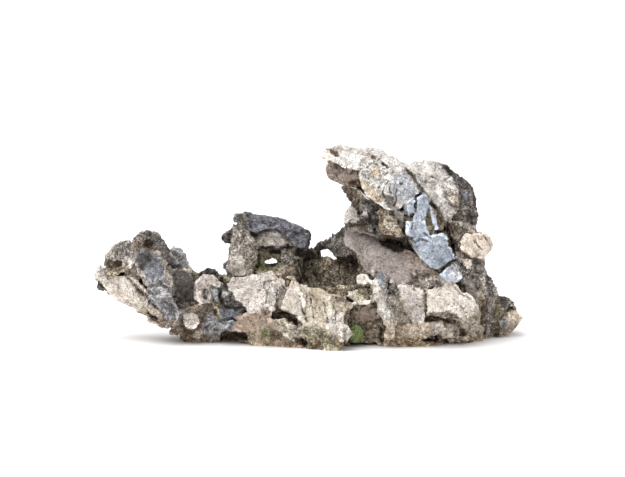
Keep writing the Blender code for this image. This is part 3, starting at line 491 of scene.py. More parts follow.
def peak_body(stone):
    """The mass of the peak: its core, the neck, and the bulges on its right flank."""
    block(stone, "matrix", [
        (35, 78, 20), (45, 115, 10), (90, 140, -10), (130, 168, -8), (164, 140, 8), (172, 80, 0),
        (176, 40, 0), (168, -12, 10), (90, -12, -10), (50, -5, 0),
    ], 60)
    block(stone, "scoop", [
        (32, 102, 14), (36, 113, 14), (45, 117, 10), (54, 113, 4), (66, 104, -6), (80, 92, -18),
        (98, 88, -28), (112, 82, -36), (116, 70, -42), (100, 56, -52), (86, 52, -52), (70, 64, -40),
        (56, 68, -24), (48, 80, -10), (40, 90, 2),
    ], 34)
    block(stone, "warm", [
        (100, 88, -30), (118, 80, -40), (127, 68, -45), (134, 56, -50), (112, 48, -54), (88, 50, -52),
    ], 34)
    block(stone, "brown", [
        (32, 154, -2), (46, 152, -12), (56, 142, -20), (72, 134, -26), (62, 128, -20), (50, 130, -8),
        (42, 136, 0), (39, 145, 0),
    ], 50)
    block(stone, "dark", [
        (42, 140, 0), (42, 128, -6), (38, 120, -4), (36, 112, 2), (48, 110, -6), (62, 104, -16),
        (74, 100, -28), (94, 102, -36), (94, 128, -34), (72, 134, -28), (56, 143, -20),
    ], 50)
    slab(stone, "pale", [(37, 126), (41, 132), (48, 131), (49, 118), (37, 119)], -14, 16)
    block(stone, "dark", [
        (50, 136, -22), (62, 136, -28), (67, 122, -30), (64, 108, -26), (54, 110, -20), (49, 122, -18),
    ], 20)
    slab(stone, "matrix", [(124, 152), (160, 152), (168, 116), (164, 84), (140, 84), (122, 100)], -18, 40)
    slab(stone, "olive", [(132, 120), (152, 118), (150, 94), (138, 94)], -32, 24)
    slab(stone, "matrix", [(128, 70), (176, 72), (176, 20), (128, 20)], -26, 40)
    slab(stone, "grey", [(138, 74), (172, 62), (168, 36), (144, 44)], -38, 24)
    slab(stone, "brown", [(38, 158), (62, 158), (62, 138), (44, 138)], -6, 30)
    slab(stone, "cream", [(40, 172), (64, 176), (64, 150), (42, 150)], -4, 30)
    boulder(stone, "ochre", (78, 114, -36), (10, 8, 9))
    boulder(stone, "ochre", (86, 109, -36), (8, 8, 7))
    boulder(stone, "ochre", (74, 124, -32), (6, 6, 7))
    block(stone, "olive", [
        (94, 140, -44), (114, 147, -44), (122, 130, -46), (130, 110, -46), (140, 98, -46), (147, 82, -46),
        (150, 62, -48), (138, 58, -50), (124, 66, -52), (110, 86, -50), (98, 98, -48), (93, 118, -46),
    ], 42)
    block(stone, "matrix", [
        (138, 116, -36), (152, 114, -24), (166, 84, -14), (174, 78, -4), (175, 65, -6), (174, 42, -18),
        (164, 40, -34), (150, 60, -42), (146, 84, -42),
    ], 50)
    block(stone, "peach", [
        (147, 99, -38), (154, 106, -34), (170, 110, -16), (178, 103, -8), (184, 95, -4), (179, 89, -10),
        (171, 82, -20), (160, 83, -34), (150, 88, -40),
    ], 34)
    boulder(stone, "pale", (157.5, 76.5, -37), (5.5, 5, 5))
    block(stone, "grey", [
        (174, 64, 0), (181, 59, 8), (185, 50, 12), (190, 43, 16), (190, 15, 20), (176, -10, 14),
        (174, 40, -4),
    ], 44)


def peak_head(stone):
    """The head that leans out over the basin, its pale shoulder and its dark right edge."""
    block(stone, "chalk", [
        (11, 184, -6), (14, 191, -2), (20, 193, 2), (42, 192, 2), (60, 191, 0), (71, 189, -2),
        (78, 184, -8), (62, 174, -24), (48, 169, -28), (38, 171, -28), (26, 176, -22), (16, 181, -14),
    ], 30)
    slab(stone, "cream", [
        (17, 190), (22, 195), (30, 196), (40, 193), (50, 190), (40, 186), (20, 186),
    ], -2, 26)
    block(stone, "warm", [
        (15, 169, -6), (17, 174, -8), (30, 174, -16), (48, 168, -20), (52, 154, -20), (46, 152, -14),
        (34, 152, -8), (26, 159, -6), (18, 163, -4),
    ], 30)
    block(stone, "chalk", [
        (48, 168, -30), (58, 177, -26), (76, 184, -16), (86, 182, -16), (94, 178, -20), (105, 166, -28),
        (111, 155, -38), (111, 147, -42), (100, 137, -46), (90, 131, -46), (78, 131, -44), (70, 138, -40),
        (58, 144, -34), (51, 154, -30), (78, 160, -44),
    ], 46)
    block(stone, "chalk", [
        (93, 177, -10), (103, 180, -6), (115, 180, -4), (128, 177, -4), (140, 170, -6), (148, 164, -10),
        (150, 152, -20), (146, 135, -30), (139, 116, -38), (130, 110, -42), (122, 124, -44),
        (114, 144, -42), (105, 162, -30),
    ], 52)
    block(stone, "dark", [
        (145, 163, 2), (150, 163, 6), (157, 158, 8), (162, 149, 8), (164, 134, 8), (168, 127, 6),
        (168, 117, 4), (164, 112, 0), (154, 113, -12), (145, 126, -22), (144, 145, -16),
    ], 40)


def plates(stone):
    """Blue plates that stand a little proud of the peak's face, with narrow gaps between them."""
    slab(stone, "plate", [(94, 140), (105, 140), (106, 127), (95, 125)], -48, 10, PLATE_TAPER)
    slab(stone, "plate", [
        (107, 142), (114, 147), (119, 139), (117, 130), (114, 118), (102, 121), (105, 131),
    ], -49, 10, PLATE_TAPER)
    slab(stone, "plate", [
        (94, 119), (114, 118), (118, 108), (120, 100), (114, 100), (101, 107), (96, 105),
    ], -50, 10, PLATE_TAPER)
    slab(stone, "plate", [
        (120, 133), (123, 130), (125, 120), (128, 111), (124, 108), (122, 118),
    ], -50, 10, PLATE_TAPER)
    slab(stone, "plate", [
        (98, 99), (110, 99), (120, 97), (128, 106), (133, 107), (139, 99), (141, 90), (146, 83), (140, 78),
        (130, 70), (123, 69), (118, 78), (111, 87), (102, 91),
    ], -52, 12, PLATE_TAPER)
    slab(stone, "plate", [
        (127, 66), (135, 68), (140, 77), (145, 77), (149, 70), (151, 63), (147, 59), (140, 60), (135, 62),
        (130, 61),
    ], -54, 12, PLATE_TAPER)


def peak_foot(stone):
    """The blocks at the bottom right: two pale blocks, a tan flank, and a loose-looking round foot."""
    block(stone, "pink", [
        (86, 56, -56), (92, 57, -56), (113, 51, -60), (115, 38, -64), (112, 18, -60), (102, 16, -58),
        (95, 28, -62), (89, 42, -62),
    ], 32)
    block(stone, "white", [
        (116, 47, -62), (128, 52, -58), (133, 61, -50), (142, 57, -52), (152, 47, -56), (164, 39, -58),
        (168, 31, -54), (160, 22, -58), (151, 20, -64), (140, 30, -70), (128, 28, -70), (117, 26, -68),
    ], 44)
    block(stone, "tan", [
        (158, 54, -36), (168, 51, -34), (176, 40, -30), (174, 24, -28), (172, -10, -2), (156, -12, -12),
        (145, 8, -30), (148, 22, -46),
    ], 46)
    block(stone, "tan", [
        (73, 10, -54), (90, 16, -58), (110, 18, -58), (130, 18, -54), (138, 4, -34), (128, -14, -18),
        (108, -14, -44), (75, -14, -36),
    ], 60)
    boulder(stone, "cream", (140, 5, -26), (5, 5, 9))
    boulder(stone, "grey", (147, 4, -22), (5, 5, 8))
    block(stone, "olive", [
        (178, 44, 10), (190, 43, 14), (196, 43, 16), (202, 38, 20), (207, 30, 22), (198, 20, 14),
        (192, 10, 14), (180, -12, 34),
    ], 36)
    block(stone, "pink", [
        (196, 27, 12), (207, 30, 16), (213, 22, 22), (207, 13, 22), (184, -10, 34), (178, -12, 38),
        (193, 18, 10),
    ], 30)


def weathered_back(stone):
    """Broken lumps that give the far side and the right end as much relief as the near side."""
    rubble(stone, 11, (100, 128, 42), (38, 20, 8), (22, 12, 18), 12, ("white", "slate", "matrix", "pale"))
    rubble(stone, 12, (100, 66, 64), (52, 34, 8),
           (26, 12, 20), 16, ("pale", "brown", "mottled", "cream", "matrix"))
    rubble(stone, 13, (80, 24, 78), (84, 8, 6), (26, 13, 14), 12, ("tan", "beige", "white", "dark"))
    rubble(stone, 14, (-36, 56, 62), (40, 26, 6),
           (20, 10, 15), 12, ("matrix", "charcoal", "cream", "slate"))
    rubble(stone, 15, (-30, 18, 66), (56, 6, 8), (22, 13, 12), 8, ("beige", "tan", "pale", "olive"))
    rubble(stone, 16, (-152, 62, 16), (30, 18, 6), (16, 9, 13), 10, ("grey", "mottled", "cream", "matrix"))
    rubble(stone, 17, (-112, 28, 30), (30, 12, 8), (18, 11, 12), 8, ("brown", "pink", "beige"))
    rubble(stone, 18, (150, 84, 34), (5, 36, 18), (13, 14, 15), 9, ("dark", "cream", "slate", "matrix"))
    rubble(stone, 19, (176, 24, 46), (10, 8, 8), (16, 15, 14), 5, ("grey", "pink", "olive"))
    rib(stone, "pale", [(60, 120, 44, 9), (84, 96, 62, 10), (92, 60, 74, 10), (120, 26, 82, 11)])
    rib(stone, "slate", [(-72, 100, 50, 8), (-60, 70, 64, 8), (-66, 30, 66, 10)])


def hollows(stone):
    """Takes out every hollow: the basin, the window, the caves under the rim and the worn faces."""
    # The cave and black finishes given to hollows here are painted shade.
    hollow(stone, "wall", (14, 66, -2), (44, 28, 30), (0, -4, 4))
    hollow(stone, "wall", (38, 66, 2), (15, 26, 14))
    hollow(stone, None, (-39.5, 80, 40), (7.0, 90, 4.0), (0, 8, 0))
    hollow(stone, "cave_shade", (-162, 96, -30), (6, 8, 5.5))
    hollow(stone, "slick", (-126, 53, -52), (12, 18, 20), (0, 12, 0))
    hollow(stone, "cave_shade", (-195, 75, -27), (7, 8, 4))
    hollow(stone, None, (-181, 68, -36), (8, 6, 4), (0, 30, 0))
    hollow(stone, None, (-120, 20, -46), (12, 10, 12))
    hollow(stone, None, (-104, 44, -46), (5, 8, 9))
    hollow(stone, "cave_shade", (-76, 3, -32), (12, 24, 6))
    hollow(stone, None, (-40, 47, -61), (8, 14, 14))
    # The brown of the vault under the fin is painted shade.
    hollow(stone, "brown", (-19, 21, -68), (13, 11, 3.8), (0, 30, 0))
    hollow(stone, "warm", (53, 21, -76), (19, 28, 14))
    hollow(stone, "brown", MOSS_MIDDLE, [radius + MOSS_GAP for radius in MOSS_RADII], MOSS_TURN)
    hollow(stone, None, (145, 12, -52), (12, 18, 9))
    hollow(stone, "cave_shade", (122, 0, -48), (10, 16, 3.5))
    hollow(stone, "cave_shade", (72, 4, -62), (2.5, 14, 12))
    hollow(stone, "cave_shade", (81, 98, -42), (14, 20, 5.5), (0, 20, 0))
    hollow(stone, None, (94, 116, -44), (2.5, 10, 16), (0, 4, 0))
    hollow(stone, "black_shade", (63, 125, -40), (2.2, 12, 13), (0, 12, 0))
    hollow(stone, "brown", (22, 188, -16), (9, 14, 2.2), (0, 25, 0))
    hollow(stone, "cave_shade", (43, 156, -24), (8, 10, 6))
    hollow(stone, "soil", (177, 28, -20), (3.5, 15, 18), (0, -4, 0))
    hollow(stone, "black_shade", (-54, 106, -4), (7, 8, 3.5))
    hollow(stone, "black_shade", (-34, 91, 2), (22, 12, 3), (0, -4, 0))
    hollow(stone, "black_shade", (-10, 88, 2), (8, 12, 4))
    hollow(stone, "black_shade", (142, 94, -48), (2.5, 9, 12), (0, -24, 0))
    hollow(stone, None, (76, 84, -92), (52, 56, 38), (0, 28, 0))
    hollow(stone, None, (60, 96, 84), (14, 16, 18), (0, 20, 0))
    hollow(stone, None, (130, 84, 98), (11, 18, 24), (0, -20, 0))
    hollow(stone, None, (22, 46, 96), (20, 16, 11), (0, 10, 0))
    hollow(stone, None, (-30, 34, 84), (14, 14, 10))
    hollow(stone, None, (-128, 46, 50), (12, 12, 9))
    hollow(stone, None, (90, 150, 50), (10, 10, 6), (0, 30, 0))
    hollow(stone, None, (-94, 75, 60), (9, 18, 10))


# Worn faces that stay smooth: a drawn middle and a radius in drawing units.
CALM_FACES = [
    ((-36, 112, 16), 40), ((-155, 62, -40), 24), ((-126, 55, -34), 18), ((74, 88, -20), 44),
    ((122, 100, -48), 34), ((134, 36, -64), 24), ((102, 38, -60), 18), ((-52, 16, -46), 20),
    (MOSS_MIDDLE, 16),
]


def calm(places):
    """How much weathering each place takes, from CALM_SHARE on a worn face to 1 elsewhere."""
    share = np.ones(len(places))
    for middle, radius in CALM_FACES:
        reach = np.linalg.norm(places - np.array(seat(*middle)), axis=1) / (radius * UNIT)
        share = np.minimum(share, CALM_SHARE + (1.0 - CALM_SHARE) * np.minimum(reach, 1.0) ** 3)
    return share


HALF = Vector((0.5, 0.5, 0.5))


def doubled(grid, axis, size):
    """The grid with a point put halfway between each two along an axis, cut to a size."""
    twice = np.repeat(grid, 2, axis=axis)
    ahead = np.roll(twice, -1, axis=axis)
    return np.take((twice + ahead) * np.float32(0.5), range(size), axis=axis)


def weather(stone):
    """Moves the skin in and out: broad rolls, chips tilted each its own way, and a coarse grain."""
    noise.seed_set(NOISE_SEED)
    coarse = stone.distances[::2, ::2, ::2]
    near = np.argwhere(np.abs(coarse) < REACH * WEATHERED_SHARE)
    places = np.stack([line[::2][near[:, axis]] for axis, line in enumerate(stone.lines)], axis=1)
    growth = np.empty(len(near))
    for number, place in enumerate(places):
        place = Vector(place)
        roll = noise.fractal(place / ROLL_SIZE, ROLL_ROUGHNESS, NOISE_STEP, ROLL_OCTAVES) * ROLL_DEPTH
        bent = place / CHIP_SIZE + noise.noise_vector(place / CHIP_SIZE) * CHIP_WARP
        chip_middle = noise.voronoi(bent)[1][0]
        tilt = noise.cell_vector(chip_middle * CHIP_DRAW) - HALF
        chip = tilt.dot(bent - chip_middle) * CHIP_TILT
        grain = (0.5 - noise.voronoi(place / GRAIN_SIZE)[0][0]) * GRAIN_DEPTH
        growth[number] = roll + chip + grain
    moved = np.zeros(coarse.shape, np.float32)
    moved[tuple(near.T)] = growth * calm(places)
    for axis in range(3):
        moved = doubled(moved, axis, stone.distances.shape[axis])
    stone.distances -= moved


def corner_views(grid, spans):
    """The grid seen from each corner of its cells, or of its squares: spans says which axes step."""
    views = {}
    for step in np.ndindex(*(span + 1 for span in spans)):
        part = tuple(
            slice(offset, size - span + offset) for offset, span, size in zip(step, spans, grid.shape)
        )
        views[step] = grid[part]
    return views


def untangle(stone):
    """Fills grid points until no two lumps, and no two hollows, touch only along an edge or at a corner."""
    inside = stone.distances < 0.0
    before = -1
    while before != inside.sum():
        before = inside.sum()
        for spans in ((1, 1, 0), (1, 0, 1), (0, 1, 1), (1, 1, 1)):
            views = corner_views(inside, spans)
            for step, view in views.items():
                opposite = tuple(span - offset for span, offset in zip(spans, step))
                others = [views[key] for key in views if key not in (step, opposite)]
                apart = view & views[opposite] & ~np.logical_or.reduce(others)
                others[0][apart] = True
                sealed = ~view & ~views[opposite] & np.logical_and.reduce(others)
                view[sealed] = True
    stone.distances[inside & (stone.distances >= 0.0)] = FILLED_CELLS * CELL


def skin(stone, name):
    """An object whose mesh is the field's zero surface: a corner in each cell that the skin crosses."""
    inside = stone.distances < 0.0
    corners = list(corner_views(inside, (1, 1, 1)).values())
    crossed = np.logical_or.reduce(corners) & ~np.logical_and.reduce(corners)
    cells = np.argwhere(crossed)
    numbers = np.full(crossed.shape, -1, np.int32)
    numbers[crossed] = np.arange(len(cells))

    sums = np.zeros((len(cells), 3))
    hits = np.zeros(len(cells))
    quads = []
    steps = np.eye(3, dtype=int)
    for axis in range(3):
        along, left, up = steps[axis], steps[(axis + 1) % 3], steps[(axis + 2) % 3]
        for side in (0 * left, left, up, left + up):
            start = cells + side
            near = stone.distances[tuple(start.T)]
            far = stone.distances[tuple((start + along).T)]
            crossing = (near < 0.0) != (far < 0.0)
            share = np.divide(near, near - far, out=np.zeros_like(near), where=crossing)
            sums[crossing] += (start + share[:, None] * along)[crossing]
            hits += crossing
        ahead = tuple(slice(1, None) if a == axis else slice(None) for a in range(3))
        behind = tuple(slice(None, -1) if a == axis else slice(None) for a in range(3))
        edges = np.argwhere(inside[behind] != inside[ahead])
        ring = [numbers[tuple((edges - side).T)] for side in (left + up, up, 0 * up, left)]
        ring = np.stack(ring, axis=1)
        inward = ~inside[tuple(edges.T)]
        ring[inward] = ring[inward][:, ::-1]
        quads.append(ring)
    origin = np.array([line[0] for line in stone.lines])
    places = sums / hits[:, None] * CELL + origin

    mesh = bpy.data.meshes.new(name)
    mesh.from_pydata(places.tolist(), [], np.concatenate(quads).tolist())
    return shown(name, mesh)


def keep_largest(body):
    """Drops every scrap of skin that isn't joined to the stone."""
    shape = bmesh.new()
    shape.from_mesh(body.data)
    left = set(shape.verts)
    pieces = []
    while left:
        piece = {left.pop()}
        front = list(piece)
        while front:
            vertex = front.pop()
            for edge in vertex.link_edges:
                other = edge.other_vert(vertex)
                if other in left:
                    left.remove(other)
                    piece.add(other)
                    front.append(other)
        pieces.append(piece)
    pieces.sort(key=len)
    scraps = [vertex for piece in pieces[:-1] for vertex in piece]
    bmesh.ops.delete(shape, geom=scraps, context="VERTS")
    shape.to_mesh(body.data)
    shape.free()


# The cave and black patches are painted shade in recesses and under overhangs.
# What the front shows over the blocks' own finishes: a finish, how soft its edge is, and its outline.
PATCHES = [
    # The bow
    ("grey", 1.5, [(-176, 101), (-172, 108), (-164, 109), (-162, 100), (-168, 92), (-176, 92)]),
    ("brown", 1.5, [(-176, 100), (-169, 100), (-168, 90), (-176, 86)]),
    ("dark", 1.5, [(-163, 108), (-152, 107), (-146, 101), (-140, 94), (-140, 84), (-147, 80), (-155, 92)]),
    ("cave_shade", 1.2, [(-168, 100), (-162, 101), (-156, 98), (-154, 94), (-159, 91), (-166, 91), (-169, 96)]),
    ("brown", 1.0, [(-166, 91), (-154, 91), (-151, 87), (-160, 86)]),
    ("grey", 1.5, [(-197, 93), (-190, 98), (-183, 97), (-177, 91), (-180, 84), (-192, 82), (-201, 86)]),
    ("cave_shade", 1.0, [(-207, 82), (-198, 80), (-192, 78), (-188, 76), (-189, 72), (-198, 71), (-203, 74)]),
    ("ochre", 1.5, [(-206, 73), (-198, 71), (-186, 74), (-180, 68), (-184, 60), (-196, 64), (-204, 66)]),
    ("cave_shade", 0.8, [(-204, 65), (-198, 64), (-198, 60), (-203, 60)]),
    ("white", 1.5, [(-200, 60), (-196, 64), (-184, 64), (-178, 56), (-182, 48), (-192, 50)]),
    ("cream", 1.5, [
        (-182, 80), (-174, 82), (-166, 66), (-156, 48), (-144, 36), (-150, 34), (-166, 50), (-176, 64),
    ]),
    ("brown", 2.0, [(-184, 64), (-179, 62), (-170, 52), (-160, 42), (-164, 40), (-174, 50)]),
    ("tan", 2.5, [(-168, 34), (-156, 34), (-146, 22), (-150, 16), (-166, 26)]),
    ("brown", 2.0, [(-160, 27), (-150, 24), (-136, 24), (-120, 10), (-128, 6), (-144, 14), (-160, 20)]),
    ("dusk", 2.0, [
        (-176, 84), (-170, 88), (-160, 87), (-153, 82), (-152, 76), (-160, 72), (-168, 68), (-174, 74),
    ]),
    ("slate", 2.5, [(-156, 78), (-150, 78), (-146, 66), (-148, 60), (-154, 66)]),
    ("grey", 0.8, [(-177, 80), (-174, 80), (-163, 57), (-165, 57)]),
    ("mottled", 2.0, [
        (-166, 62), (-150, 62), (-142, 56), (-132, 42), (-126, 28), (-130, 20), (-144, 20), (-152, 32),
        (-162, 46),
    ]),
    ("slick", 1.2, [
        (-138, 68), (-130, 70), (-120, 67), (-114, 61), (-113, 50), (-115, 40), (-122, 37), (-130, 44),
        (-136, 55),
    ]),
    ("beige", 1.0, [(-127, 74), (-118, 73), (-116, 68), (-124, 68)]),
    # The saddle
    ("pink", 1.2, [
        (-115, 62), (-107, 65), (-98, 66), (-92, 62), (-88, 55), (-94, 52), (-102, 56), (-107, 53),
        (-103, 48), (-104, 40), (-111, 36), (-115, 42), (-112, 50), (-116, 57),
    ]),
    ("white", 1.5, [(-105, 63), (-99, 63), (-97, 57), (-102, 56)]),
    ("rim", 0.8, [(-99, 51), (-93, 51), (-91, 46), (-92, 38), (-96, 40)]),
    ("rim", 0.8, [(-88, 46), (-86, 50), (-82, 47), (-81, 43), (-86, 42)]),
    ("dark", 1.0, [(-85, 43), (-78, 46), (-70, 38), (-63, 32), (-74, 32), (-84, 33)]),
    ("slate", 1.0, [(-90, 30), (-76, 31), (-75, 26), (-82, 19), (-89, 19)]),
    ("bluish", 1.0, [(-93, 17), (-84, 18), (-78, 20), (-82, 12), (-90, 8), (-94, 10)]),
    ("olive", 2.0, [(-97, 40), (-90, 38), (-89, 20), (-98, 22)]),
    ("pink", 1.0, [(-126, 27), (-116, 27), (-112, 22), (-113, 12), (-119, 11), (-126, 16)]),
    ("beige", 0.8, [(-115, 9), (-108, 9), (-107, 2), (-112, -1), (-116, 3)]),
    ("mottled", 1.0, [(-106, 22), (-96, 24), (-90, 18), (-89, 2), (-100, -2), (-107, 8)]),
    ("soil", 1.5, [(-130, 14), (-116, 10), (-116, 0), (-124, 4)]),
    ("cave_shade", 0.8, [(-89, 9), (-82, 9), (-70, 6), (-64, 1), (-68, -1), (-86, 0)]),
    # The rim
    ("pink", 1.5, [(-87, 57), (-80, 63), (-64, 64), (-56, 60), (-70, 58), (-78, 52)]),
    ("pale", 2.0, [(-48, 64), (-39, 65), (-33, 60), (-28, 52), (-30, 42), (-33, 32), (-42, 32), (-48, 44)]),
    ("white", 1.2, [
        (-23, 50), (-17, 58), (-13, 56), (-12, 46), (-14, 30), (-8, 18), (-16, 24), (-30, 32), (-28, 42),
    ]),
    ("brown", 2.0, [(22, 45), (40, 44), (46, 38), (44, 33), (34, 36), (24, 38)]),
    ("pale", 2.5, [(16, 26), (32, 26), (34, 14), (28, 4), (16, 12)]),
    ("olive", 3.0, [(-8, 10), (8, 14), (26, 4), (30, -8), (-6, -8)]),
    ("brown", 1.5, [(-50, 32), (-42, 33), (-40, 26), (-48, 25)]),
    ("green", 3.0, [(-50, 12), (-40, 13), (-40, 1), (-50, 0)]),
    ("olive", 3.0, [(-62, 8), (-54, 8), (-54, 0), (-62, 1)]),
    ("beige", 2.0, [(-36, 22), (-24, 20), (-10, 10), (-8, -4), (-20, -4), (-34, 12)]),
    # Painted shade under the arch: a black edge and the brown vault.
    ("black_shade", 0.8, [(-32, 29), (-22, 29), (-13, 24), (-16, 22), (-24, 26), (-32, 26)]),
    ("brown", 1.2, [(-24, 25), (-16, 23), (-9, 16), (-10, 12), (-20, 17), (-27, 22)]),
    ("cave_shade", 1.2, [(-40, 10), (-28, 9), (-28, 0), (-38, 0)]),
    ("soil", 1.2, [(-16, 2), (-8, 2), (-6, -5), (-14, -5)]),
    ("soil", 1.2, [(2, -1), (10, 1), (11, -8), (0, -8)]),
    # The pocket and the crystals
    ("fan", 1.2, [(41, 27), (50, 30), (58, 33), (66, 32), (71, 24), (64, 20), (50, 20)]),
    ("brown", 0.8, [(33, 22), (36, 28), (42, 28), (40, 23), (34, 17)]),
    ("peach", 1.0, [(52, 40), (60, 41), (62, 34), (54, 32)]),
    ("beige", 1.5, [(36, 48), (52, 44), (54, 34), (44, 31)]),
    ("olive", 1.5, [(46, 54), (60, 58), (64, 52), (60, 42), (48, 46)]),
    ("pale", 1.0, [(30, 14), (36, 17), (41, 8), (38, 1), (30, 2)]),
    ("ochre", 1.2, [(52, 17), (62, 18), (71, 10), (70, -4), (60, -8), (50, -2)]),
    ("green", 2.0, [(40, 17), (50, 18), (55, 8), (53, -3), (40, -4)]),
    ("black_shade", 0.8, [(69, 14), (73, 12), (73, -2), (70, -4)]),
    ("white", 0.7, [(46, 63), (54, 67), (62, 62), (68, 58), (70, 50), (66, 48), (62, 56), (50, 56)]),
    ("rim", 0.8, [
        (61, 62), (65, 73), (71, 75), (77, 69), (77, 60), (74, 58), (74, 67), (70, 70), (66, 66),
    ]),
    ("slate", 0.7, [(68, 69), (73, 69), (75, 60), (70, 52), (67, 58)]),
    ("cave_shade", 0.8, [(64, 68), (68, 70), (67, 63), (64, 62)]),
    ("pale", 1.2, [(63, 42), (70, 48), (76, 42), (80, 28), (78, 14), (73, 12), (70, 25)]),
    ("grey", 1.5, [(76, 70), (90, 68), (90, 46), (80, 40), (74, 52)]),
    ("beige", 1.5, [(80, 44), (92, 44), (98, 34), (98, 16), (86, 12), (82, 28)]),
    # The tower and the basin
    ("grey", 2.0, [(-75, 124), (-66, 127), (-62, 118), (-66, 108), (-73, 112)]),
    ("slate", 2.0, [(-60, 112), (-46, 116), (-44, 110), (-54, 106), (-60, 108)]),
    ("slate", 2.5, [(-22, 106), (-10, 106), (-8, 92), (-14, 92)]),
    ("black_shade", 0.6, [(-61, 115), (-58, 115), (-58, 112), (-61, 112)]),
    ("black_shade", 0.8, [(-61, 109), (-57, 109), (-50, 104), (-54, 102), (-60, 104)]),
    ("pink", 1.5, [(-50, 106), (-38, 107), (-26, 106), (-24, 94), (-34, 92), (-44, 98)]),
    ("black_shade", 1.0, [(-42, 92), (-29, 92), (-28, 85), (-40, 86)]),
    ("black_shade", 1.0, [(-16, 91), (10, 88), (12, 80), (-8, 82), (-16, 84)]),
    ("white", 0.8, [(-80, 84), (-68, 83), (-65, 79), (-66, 71), (-79, 70)]),
    ("beige", 1.5, [(-65, 84), (-57, 82), (-57, 66), (-65, 66)]),
    ("pink", 1.5, [(-80, 70), (-66, 70), (-60, 64), (-78, 63)]),
    ("green", 2.5, [(-56, 77), (-46, 80), (-34, 77), (-34, 70), (-54, 70)]),
    ("tan", 3.0, [(-34, 74), (-16, 72), (-12, 60), (-20, 54), (-36, 62)]),
    ("ochre", 1.2, [(12, 66), (18, 68), (20, 58), (14, 58)]),
    ("ochre", 1.5, [(18, 60), (34, 62), (36, 52), (16, 52)]),
    ("black_shade", 1.2, [(26, 84), (44, 84), (50, 76), (48, 70), (40, 76), (28, 76)]),
    ("dark", 1.5, [(10, 92), (20, 100), (24, 94), (22, 84), (18, 84), (18, 92)]),
    ("grey", 1.5, [(24, 108), (34, 110), (34, 92), (26, 90)]),
    # The scoop
    ("scoop", 1.5, [
        (34, 110), (42, 116), (52, 112), (62, 106), (70, 97), (82, 90), (94, 88), (96, 60), (86, 54),
        (72, 68), (60, 70), (46, 84), (36, 94),
    ]),
    ("brown", 1.5, [(36, 116), (44, 119), (54, 116), (62, 108), (56, 108), (46, 112), (38, 111)]),
    ("warm", 2.0, [(94, 90), (108, 87), (116, 76), (114, 68), (104, 74), (94, 78)]),
    ("dark", 1.5, [(104, 70), (112, 70), (113, 60), (106, 60)]),
    ("matrix", 2.0, [(100, 66), (116, 70), (122, 62), (134, 56), (130, 51), (112, 51), (100, 54)]),
    ("black_shade", 1.2, [(67, 104), (76, 101), (92, 99), (94, 90), (88, 87), (76, 92), (68, 97)]),
    # The peak's head
    ("pale", 1.2, [(15, 192), (23, 197), (36, 196), (38, 192), (24, 188)]),
    ("peach", 1.5, [(12, 184), (18, 190), (24, 184), (22, 178), (15, 180)]),
    ("cave_shade", 0.7, [(20, 190), (28, 188), (30, 184), (26, 184), (20, 187)]),
    ("pink", 1.2, [(51, 188), (60, 188), (64, 182), (60, 177), (54, 180)]),
    ("brown", 1.0, [(60, 186), (69, 182), (69, 179), (62, 181)]),
    ("warm", 1.5, [(13, 181), (20, 178), (34, 172), (48, 168), (50, 160), (40, 158), (26, 161), (16, 170)]),
    ("brown", 1.2, [(14, 180), (26, 176), (38, 169), (50, 169), (50, 165), (38, 166), (24, 171)]),
    ("cave_shade", 1.5, [(38, 158), (48, 162), (52, 156), (48, 151), (38, 153)]),
    ("tan", 1.5, [(48, 161), (58, 158), (68, 150), (74, 140), (70, 136), (58, 142), (50, 152)]),
    ("bluish", 4.0, [(78, 162), (90, 166), (100, 168), (112, 158), (112, 146), (98, 138), (86, 140)]),
    ("ash", 1.5, [(48, 176), (60, 178), (72, 176), (75, 166), (70, 157), (58, 160), (50, 163)]),
    ("tan", 1.0, [(62, 172), (68, 174), (70, 166), (65, 161), (60, 165)]),
    ("olive", 1.2, [(72, 145), (78, 144), (82, 138), (76, 136)]),
    ("grey", 1.5, [(74, 140), (82, 140), (84, 134), (78, 132)]),
    ("slick", 1.2, [(75, 146), (80, 144), (89, 135), (87, 131.5), (78, 132)]),
    ("pink", 1.0, [(86, 136), (92, 138), (93, 132), (86, 131.5)]),
    ("plate", 0.8, [(92, 131), (97, 137), (105, 142), (106, 128), (95, 124)]),
    ("brown", 1.0, [
        (93, 173), (97, 172), (104, 166), (112, 152), (114, 148), (110, 148), (104, 158), (96, 168),
    ]),
    ("brown", 1.5, [
        (114, 150), (120, 142), (128, 132), (134, 122), (140, 108), (134, 104), (128, 116), (122, 128),
        (118, 140),
    ]),
    ("dark", 1.2, [
        (128, 178), (140, 172), (150, 165), (160, 162), (166, 150), (166, 136), (170, 126), (168, 114),
        (160, 114), (155, 124), (153, 140), (146, 152), (142, 162), (132, 172),
    ]),
    ("matrix", 2.0, [(132, 154), (146, 150), (150, 138), (152, 120), (140, 112), (136, 124), (134, 140)]),
    ("pale", 1.2, [(134, 136), (140, 134), (143, 124), (138, 122)]),
    ("beige", 1.2, [(144, 144), (149, 140), (146, 134), (141, 138)]),
    ("slate", 1.0, [(152, 148), (157, 148), (157, 140), (153, 140)]),
    ("soil", 1.5, [(136, 118), (144, 116), (145, 104), (138, 100), (135, 108)]),
    ("pale", 1.0, [(148, 118), (160, 116), (168, 113), (160, 110), (150, 113)]),
    ("grey", 1.2, [(150, 111), (158, 111), (158, 106), (150, 106)]),
    # The peak's left column
    ("brown", 1.5, [(40, 155), (50, 152), (51, 134), (42, 134)]),
    ("pale", 1.0, [(36, 128), (40, 132), (48, 131), (49, 118), (40, 118)]),
    ("grey", 1.5, [(52, 136), (58, 136), (58, 122), (52, 122)]),
    ("grey", 1.2, [(57, 118), (68, 116), (66, 108), (60, 110)]),
    ("beige", 1.0, [(74, 119), (84, 118), (84, 110), (76, 110)]),
    ("pink", 1.5, [(83, 130), (93, 128), (93, 114), (86, 114)]),
    # The peak's right flank
